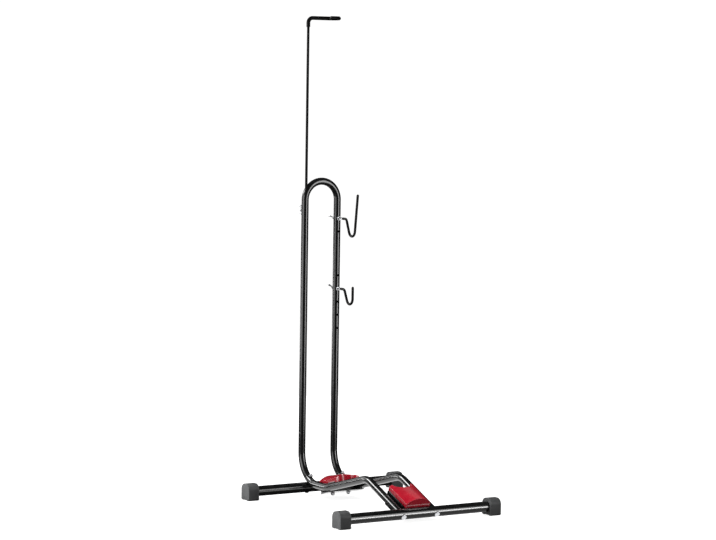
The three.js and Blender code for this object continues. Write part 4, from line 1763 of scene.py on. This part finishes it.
def turned_back(spin: float) -> Matrix:
    """The turn that takes +Z to +Y, after a spin about +Z."""
    return Matrix.Rotation(-math.pi / 2, 4, "X") @ Matrix.Rotation(spin, 4, "Z")


# J hooks


@dataclass
class JHook:
    """A J hook with its threaded shank, nut, washer and wing nut."""

    workshop: Workshop
    word: str
    drop: float
    shoulder: float
    toe_reach: float
    toe_length: float
    depth: float
    tip_height: float
    tip_reach: float
    wing_turn: float
    shoulder_radius: float = 14.0
    toe_radius: float = 22.0
    coat_radius: float = 4.8
    coat_edge: float = 0.9
    rear_length: float = 17.0
    shank_lead: float = 12.0
    shank_overlap: float = 3.0
    nut_spin: float = 0.25
    wing_gap: float = 0.05

    def build(self) -> None:
        """Makes every piece of the hook."""
        layout, word = self.workshop.layout, self.word
        centre = point(layout.rail_x, layout.leg_y, layout.leg_top - self.drop)
        heel = -self.shoulder
        toe = heel - self.toe_reach
        front = toe - self.toe_length
        back = heel + self.shank_lead + self.shoulder_radius
        path = rounded_path([
            Corner(centre + point(0, back, 0)),
            Corner(centre + point(0, heel, 0), self.shoulder_radius),
            Corner(centre + point(0, toe, -self.depth), self.toe_radius),
            Corner(centre + point(0, front, -self.depth), self.toe_radius),
            Corner(centre + point(0, front - self.tip_reach, self.tip_height)),
        ], FINE_STEP)
        body = f"{word}_hook_body"
        coat = rod_mesh(path, self.coat_radius, (Tip.SOFT, Tip.ROUND), lip=self.coat_edge)
        self.workshop.finish(object_from(f"{word}_j_hook", coat), body, Slot.VINYL, [f"{word}_hook"])
        rear = layout.tube_radius + self.rear_length
        thread = threaded_mesh(BOLT_RADIUS, rear - back + self.shank_overlap, 0.0)
        shank = object_from(f"{word}_hook_shank", moved(thread, lying(centre + REARWARD * rear, FORWARD)))
        self.workshop.finish(shank, body, Slot.ZINC)
        face = layout.tube_radius + SEAT_GAP
        nut = FLANGE_NUT.build(f"{word}_flange_nut", lying(centre + FORWARD * face, FORWARD, self.nut_spin))
        self.workshop.finish(nut, body, Slot.ZINC, [f"{word}_hook_nut"])
        washer = Washer().build(f"{word}_rear_washer", lying(centre + REARWARD * face, REARWARD))
        self.workshop.finish(washer, "base", Slot.ZINC, [f"{word}_hook_washer"])
        wing = WingHead(bore=BOLT_RADIUS + self.wing_gap).build(f"{word}_rear_wing_nut")
        seat = centre + REARWARD * (face + Washer().height + SEAT_GAP)
        wing.data.transform(Matrix.Translation(seat) @ turned_back(self.wing_turn))
        self.workshop.finish(wing, f"{word}_wing_nut", Slot.ZINC, [f"{word}_hook_wing_nut"])


# Studio


BAR_TUBES = ("front_bar_tube", "rear_bar_tube")
RAIL_TUBES = ("left_bent_rail", "right_bent_rail")
LEG_TUBES = ("tall_hoop", *RAIL_TUBES)
REAR_UNDERSIDES = ("rear_rest_bracket", *RAIL_TUBES)
PAD_BLOCKS = ("front_tyre_rest", "rear_tyre_rest")
HARDWARE = (FINISHES[Slot.ZINC].name,)
CAPS = (FINISHES[Slot.CAP].name,)


class Reach(Enum):
    """Which surfaces a lamp shows on."""

    ALL = "all"
    POLISH = "polish"
    MATT = "matt"


def direction(azimuth: float, elevation: float) -> Vector:
    """The direction towards a place seen at an azimuth and elevation in degrees, 0 being the front."""
    turn, rise = math.radians(azimuth), math.radians(elevation)
    return Vector((math.sin(turn) * math.cos(rise), -math.cos(turn) * math.cos(rise), math.sin(rise)))


@dataclass(frozen=True)
class Softbox:
    """A rectangular lamp that looks at a point of the stand, in metres, degrees and watts.

    Its last field holds the names of the pieces and finishes that it lights, or nothing for all.
    """

    name: str
    aim: tuple[float, float, float]
    width: float
    height: float
    power: float
    azimuth: float
    elevation: float
    distance: float = 3.6
    reach: Reach = Reach.ALL
    shown_on: tuple[str, ...] = ()

    def build(self) -> None:
        """Makes the lamp."""
        data = bpy.data.lights.new(self.name, "AREA")
        data.shape = "RECTANGLE"
        data.size, data.size_y = self.width, self.height
        data.energy = self.power
        lamp = bpy.data.objects.new(self.name, data)
        away = direction(self.azimuth, self.elevation)
        lamp.location = Vector(self.aim) + away * self.distance
        lamp.rotation_euler = away.to_track_quat("Z", "Y").to_euler()
        lamp.visible_camera = False
        lamp.visible_glossy = self.reach is not Reach.MATT
        lamp.visible_diffuse = self.reach is not Reach.POLISH
        bpy.context.scene.collection.objects.link(lamp)
        if self.shown_on:
            receivers = bpy.data.collections.new(f"{self.name}_pieces")
            for piece in bpy.data.objects:
                finishes = piece.data.materials.keys() if piece.type == "MESH" else []
                if {piece.name, *finishes} & set(self.shown_on):
                    receivers.objects.link(piece)
            lamp.light_linking.receiver_collection = receivers


@dataclass(frozen=True)
class Streak(Softbox):
    """A lamp that shows only in the polish of the pieces that it names."""

    reach: Reach = Reach.POLISH


@dataclass(frozen=True)
class FloorCard(Streak):
    """A lamp just above the floor that faces up."""

    azimuth: float = 0.0
    elevation: float = -90.0
    distance: float = 0.096


PADS_AIM, LEGS_AIM, HARDWARE_AIM = (0.0, -0.3, 0.1), (0.0, 0.348, 0.95), (0.0, 0.0, 0.5)
LAMPS = (
    Softbox("left_softbox", (0.0, 0.0, 0.8), 3.2, 3.0, 80.0, -93.0, 0.0),
    Softbox("back_softbox", (0.0, 0.0, 0.1), 2.0, 1.6, 14.0, -165.0, 24.0),
    Softbox("high_strip", (0.0, 0.0, 0.1), 0.9, 0.9, 30.0, -137.0, 40.0, 3.4),
    Streak("slope_strip", (0.0, -0.2, 0.1), 1.2, 1.2, 36.0, -137.0, 40.0, 3.4, shown_on=RAIL_TUBES),
    Softbox("rear_strip", (0.0, 0.0, 0.1), 0.6, 0.5, 9.0, -148.0, 5.0, 3.5),
    Softbox("right_strip", (0.0, 0.0, 0.8), 0.75, 2.6, 30.0, 29.0, 0.0),
    Streak("leg_streak", LEGS_AIM, 0.75, 1.9, 16.0, 26.0, 0.0, 1.6, shown_on=LEG_TUBES),
    Streak("leg_glow", LEGS_AIM, 1.2, 1.9, 3.6, -93.0, 0.0, 1.6, shown_on=LEG_TUBES),
    Streak("bar_strip", (0.0, -0.3, 0.15), 2.6, 0.5, 72.0, 31.5, 2.0, shown_on=BAR_TUBES[:1]),
    FloorCard("front_card", (0.31, -0.87, 0.1), 1.28, 0.66, 36.0, shown_on=BAR_TUBES[:1]),
    FloorCard("rear_card", (0.1, -0.04, 0.1), 1.1, 0.5, 4.2, shown_on=BAR_TUBES[1:]),
    Streak("rear_strip_low", (0.0, 0.3, 0.15), 2.6, 0.5, 9.0, 31.5, 2.0, shown_on=BAR_TUBES[1:]),
    FloorCard("bar_glow", (0.15, -0.66, 0.1), 1.3, 0.6, 1.0, distance=0.098, shown_on=BAR_TUBES[:1]),
    Streak("pad_ridge", PADS_AIM, 0.9, 0.9, 14.0, -131.0, 29.0, 3.4, shown_on=PAD_BLOCKS),
    Streak("pad_arch", PADS_AIM, 1.0, 1.0, 50.0, 39.0, 34.0, 3.4, shown_on=PAD_BLOCKS),
    Streak("pad_sheen", PADS_AIM, 2.0, 1.6, 2.6, 137.0, 42.0, 3.4, shown_on=PAD_BLOCKS),
    FloorCard("under_card", (0.15, 0.33, 0.1), 0.9, 0.7, 2.2, shown_on=REAR_UNDERSIDES),
    Softbox("cap_fill", (0.0, 0.0, 0.0), 2.0, 2.0, 300.0, -93.0, 5.0, reach=Reach.MATT, shown_on=CAPS),
    Streak("hardware_front", HARDWARE_AIM, 4.0, 3.0, 45.0, 0.0, 25.0, shown_on=HARDWARE),
    FloorCard("hardware_card", (0.2, -0.7, 0.1), 2.4, 1.6, 13.0, distance=0.099, shown_on=HARDWARE),
    Streak("hardware_back", HARDWARE_AIM, 4.0, 3.0, 30.0, 180.0, 25.0, shown_on=HARDWARE),
    Softbox("top_fill", (0.0, 0.0, 0.8), 2.4, 2.4, 130.0, 0.0, 88.0, reach=Reach.MATT),
)


@dataclass
class Studio:
    """The pale floor, the lamps, the surroundings and the camera, in metres and degrees."""

    layout: Layout
    azimuth: float = -31.56
    elevation: float = 4.10
    roll: float = 0.86
    distance: float = 8.933
    focal_pixels: float = 2454.0
    image_width: float = 716.0
    axis_right: float = 14.9
    axis_up: float = 7.7
    sensor_width: float = 36.0
    far_limit: float = 100.0
    aim_height: float = 0.9
    floor_radius: float = 3.2
    backdrop: float = 1.05
    ambient: float = 0.3
    polish: float = 0.02
    floor_shade: float = 0.55
    floor_glow: float = 0.85
    floor_bounce: float = 0.15
    floor_polish: float = 0.06

    def build(self) -> None:
        """Makes everything around the stand."""
        self._floor()
        self._surroundings()
        for lamp in LAMPS:
            lamp.build()
        self._camera()
        bpy.context.scene.view_settings.view_transform = "Standard"

    @staticmethod
    def _by_ray(nodes: Nodes, seen: Any, glossy: Any, other: Any) -> bpy.types.NodeSocket:
        """One shader to the camera, another in polish and a third for other rays."""
        rays = nodes.add("ShaderNodeLightPath").outputs
        unseen = nodes.add("ShaderNodeMixShader", {0: rays["Is Glossy Ray"], 1: other, 2: glossy}).outputs[0]
        return nodes.add("ShaderNodeMixShader", {0: rays["Is Camera Ray"], 1: unseen, 2: seen}).outputs[0]

    def _floor(self) -> None:
        """Makes a round pale floor."""
        mesh = bmesh.new()
        bmesh.ops.create_circle(mesh, cap_ends=True, segments=128, radius=self.floor_radius)
        floor = linked_object("pale_floor", mesh)
        material = bpy.data.materials.new("pale_floor")
        nodes = shader_nodes(material)
        pale = {"Base Color": grey(self.floor_shade), "Roughness": 0.9, "Specular IOR Level": 0.1}
        pale |= {"Emission Color": grey(1.0), "Emission Strength": self.floor_glow}
        shader = nodes.add("ShaderNodeBsdfPrincipled", pale).outputs[0]
        dull, dark = (
            nodes.add("ShaderNodeBsdfDiffuse", {"Color": grey(value)}).outputs[0]
            for value in (self.floor_bounce, self.floor_polish)
        )
        nodes.add("ShaderNodeOutputMaterial", {"Surface": self._by_ray(nodes, shader, dark, dull)})
        floor.data.materials.append(material)
        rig.stage(floor)

    def _surroundings(self) -> None:
        """Makes a surround that is white to the camera, softer as light and nearly black in polish."""
        world = bpy.data.worlds.new("studio")
        nodes = shader_nodes(world)
        white, soft, dark = (
            nodes.add("ShaderNodeBackground", {"Color": grey(1.0), "Strength": strength}).outputs[0]
            for strength in (self.backdrop, self.ambient, self.polish)
        )
        nodes.add("ShaderNodeOutputWorld", {"Surface": self._by_ray(nodes, white, dark, soft)})
        bpy.context.scene.world = world

    def _camera(self) -> None:
        """Makes the camera at the photograph's viewing angle."""
        back = direction(self.azimuth, self.elevation)
        turn, roll = math.radians(self.azimuth), math.radians(self.roll)
        right = Vector((math.cos(turn), math.sin(turn), 0.0))
        up = back.cross(right)
        level = right * math.cos(roll) + up * math.sin(roll)
        upright = up * math.cos(roll) - right * math.sin(roll)
        data = bpy.data.cameras.new("camera")
        data.sensor_width = self.sensor_width
        data.lens = self.focal_pixels / self.image_width * self.sensor_width
        data.shift_x = -self.axis_right / self.image_width
        data.shift_y = -self.axis_up / self.image_width
        data.clip_end = self.far_limit
        camera = bpy.data.objects.new("camera", data)
        aim = Vector((0.0, self.layout.middle_y * MILLIMETRE, self.aim_height))
        rotation = Matrix((level, upright, back)).transposed().to_4x4()
        camera.matrix_world = Matrix.Translation(aim + back * self.distance) @ rotation
        bpy.context.scene.collection.objects.link(camera)
        bpy.context.scene.camera = camera


def main() -> None:
    """Builds the stand's sub-assemblies in order, then the studio around them."""
    logging.basicConfig(level=logging.INFO, format="%(name)s: %(message)s")
    workshop = Workshop()
    Base(workshop).build()
    Rails(workshop).build()
    WheelPad(workshop, End.FRONT, inset=68.5, bracket_shift=0.0, stud_tail=4.0).build()
    WheelPad(workshop, End.REAR, inset=120.5, bracket_shift=-15.0, stud_tail=2.0).build()
    Hoop(workshop).build()
    Rod(workshop).build()
    JHook(
        workshop, "upper", drop=70.0, shoulder=69.0, toe_reach=27.0, toe_length=34.0, depth=63.0,
        tip_height=96.0, tip_reach=20.0, wing_turn=math.radians(25),
    ).build()
    JHook(
        workshop, "lower", drop=336.0, shoulder=61.0, toe_reach=27.0, toe_length=34.5, depth=53.0,
        tip_height=15.0, tip_reach=0.0, wing_turn=math.radians(40),
    ).build()
    Studio(workshop.layout).build()
    boxes = {"cad": [list(corner) for corner in CAD_BOX], "visual": [list(corner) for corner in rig.bounds()]}
    with open(SIZE_FILE, "w", encoding="utf-8") as file:
        json.dump(boxes, file)


if __name__ == "__main__":
    main()
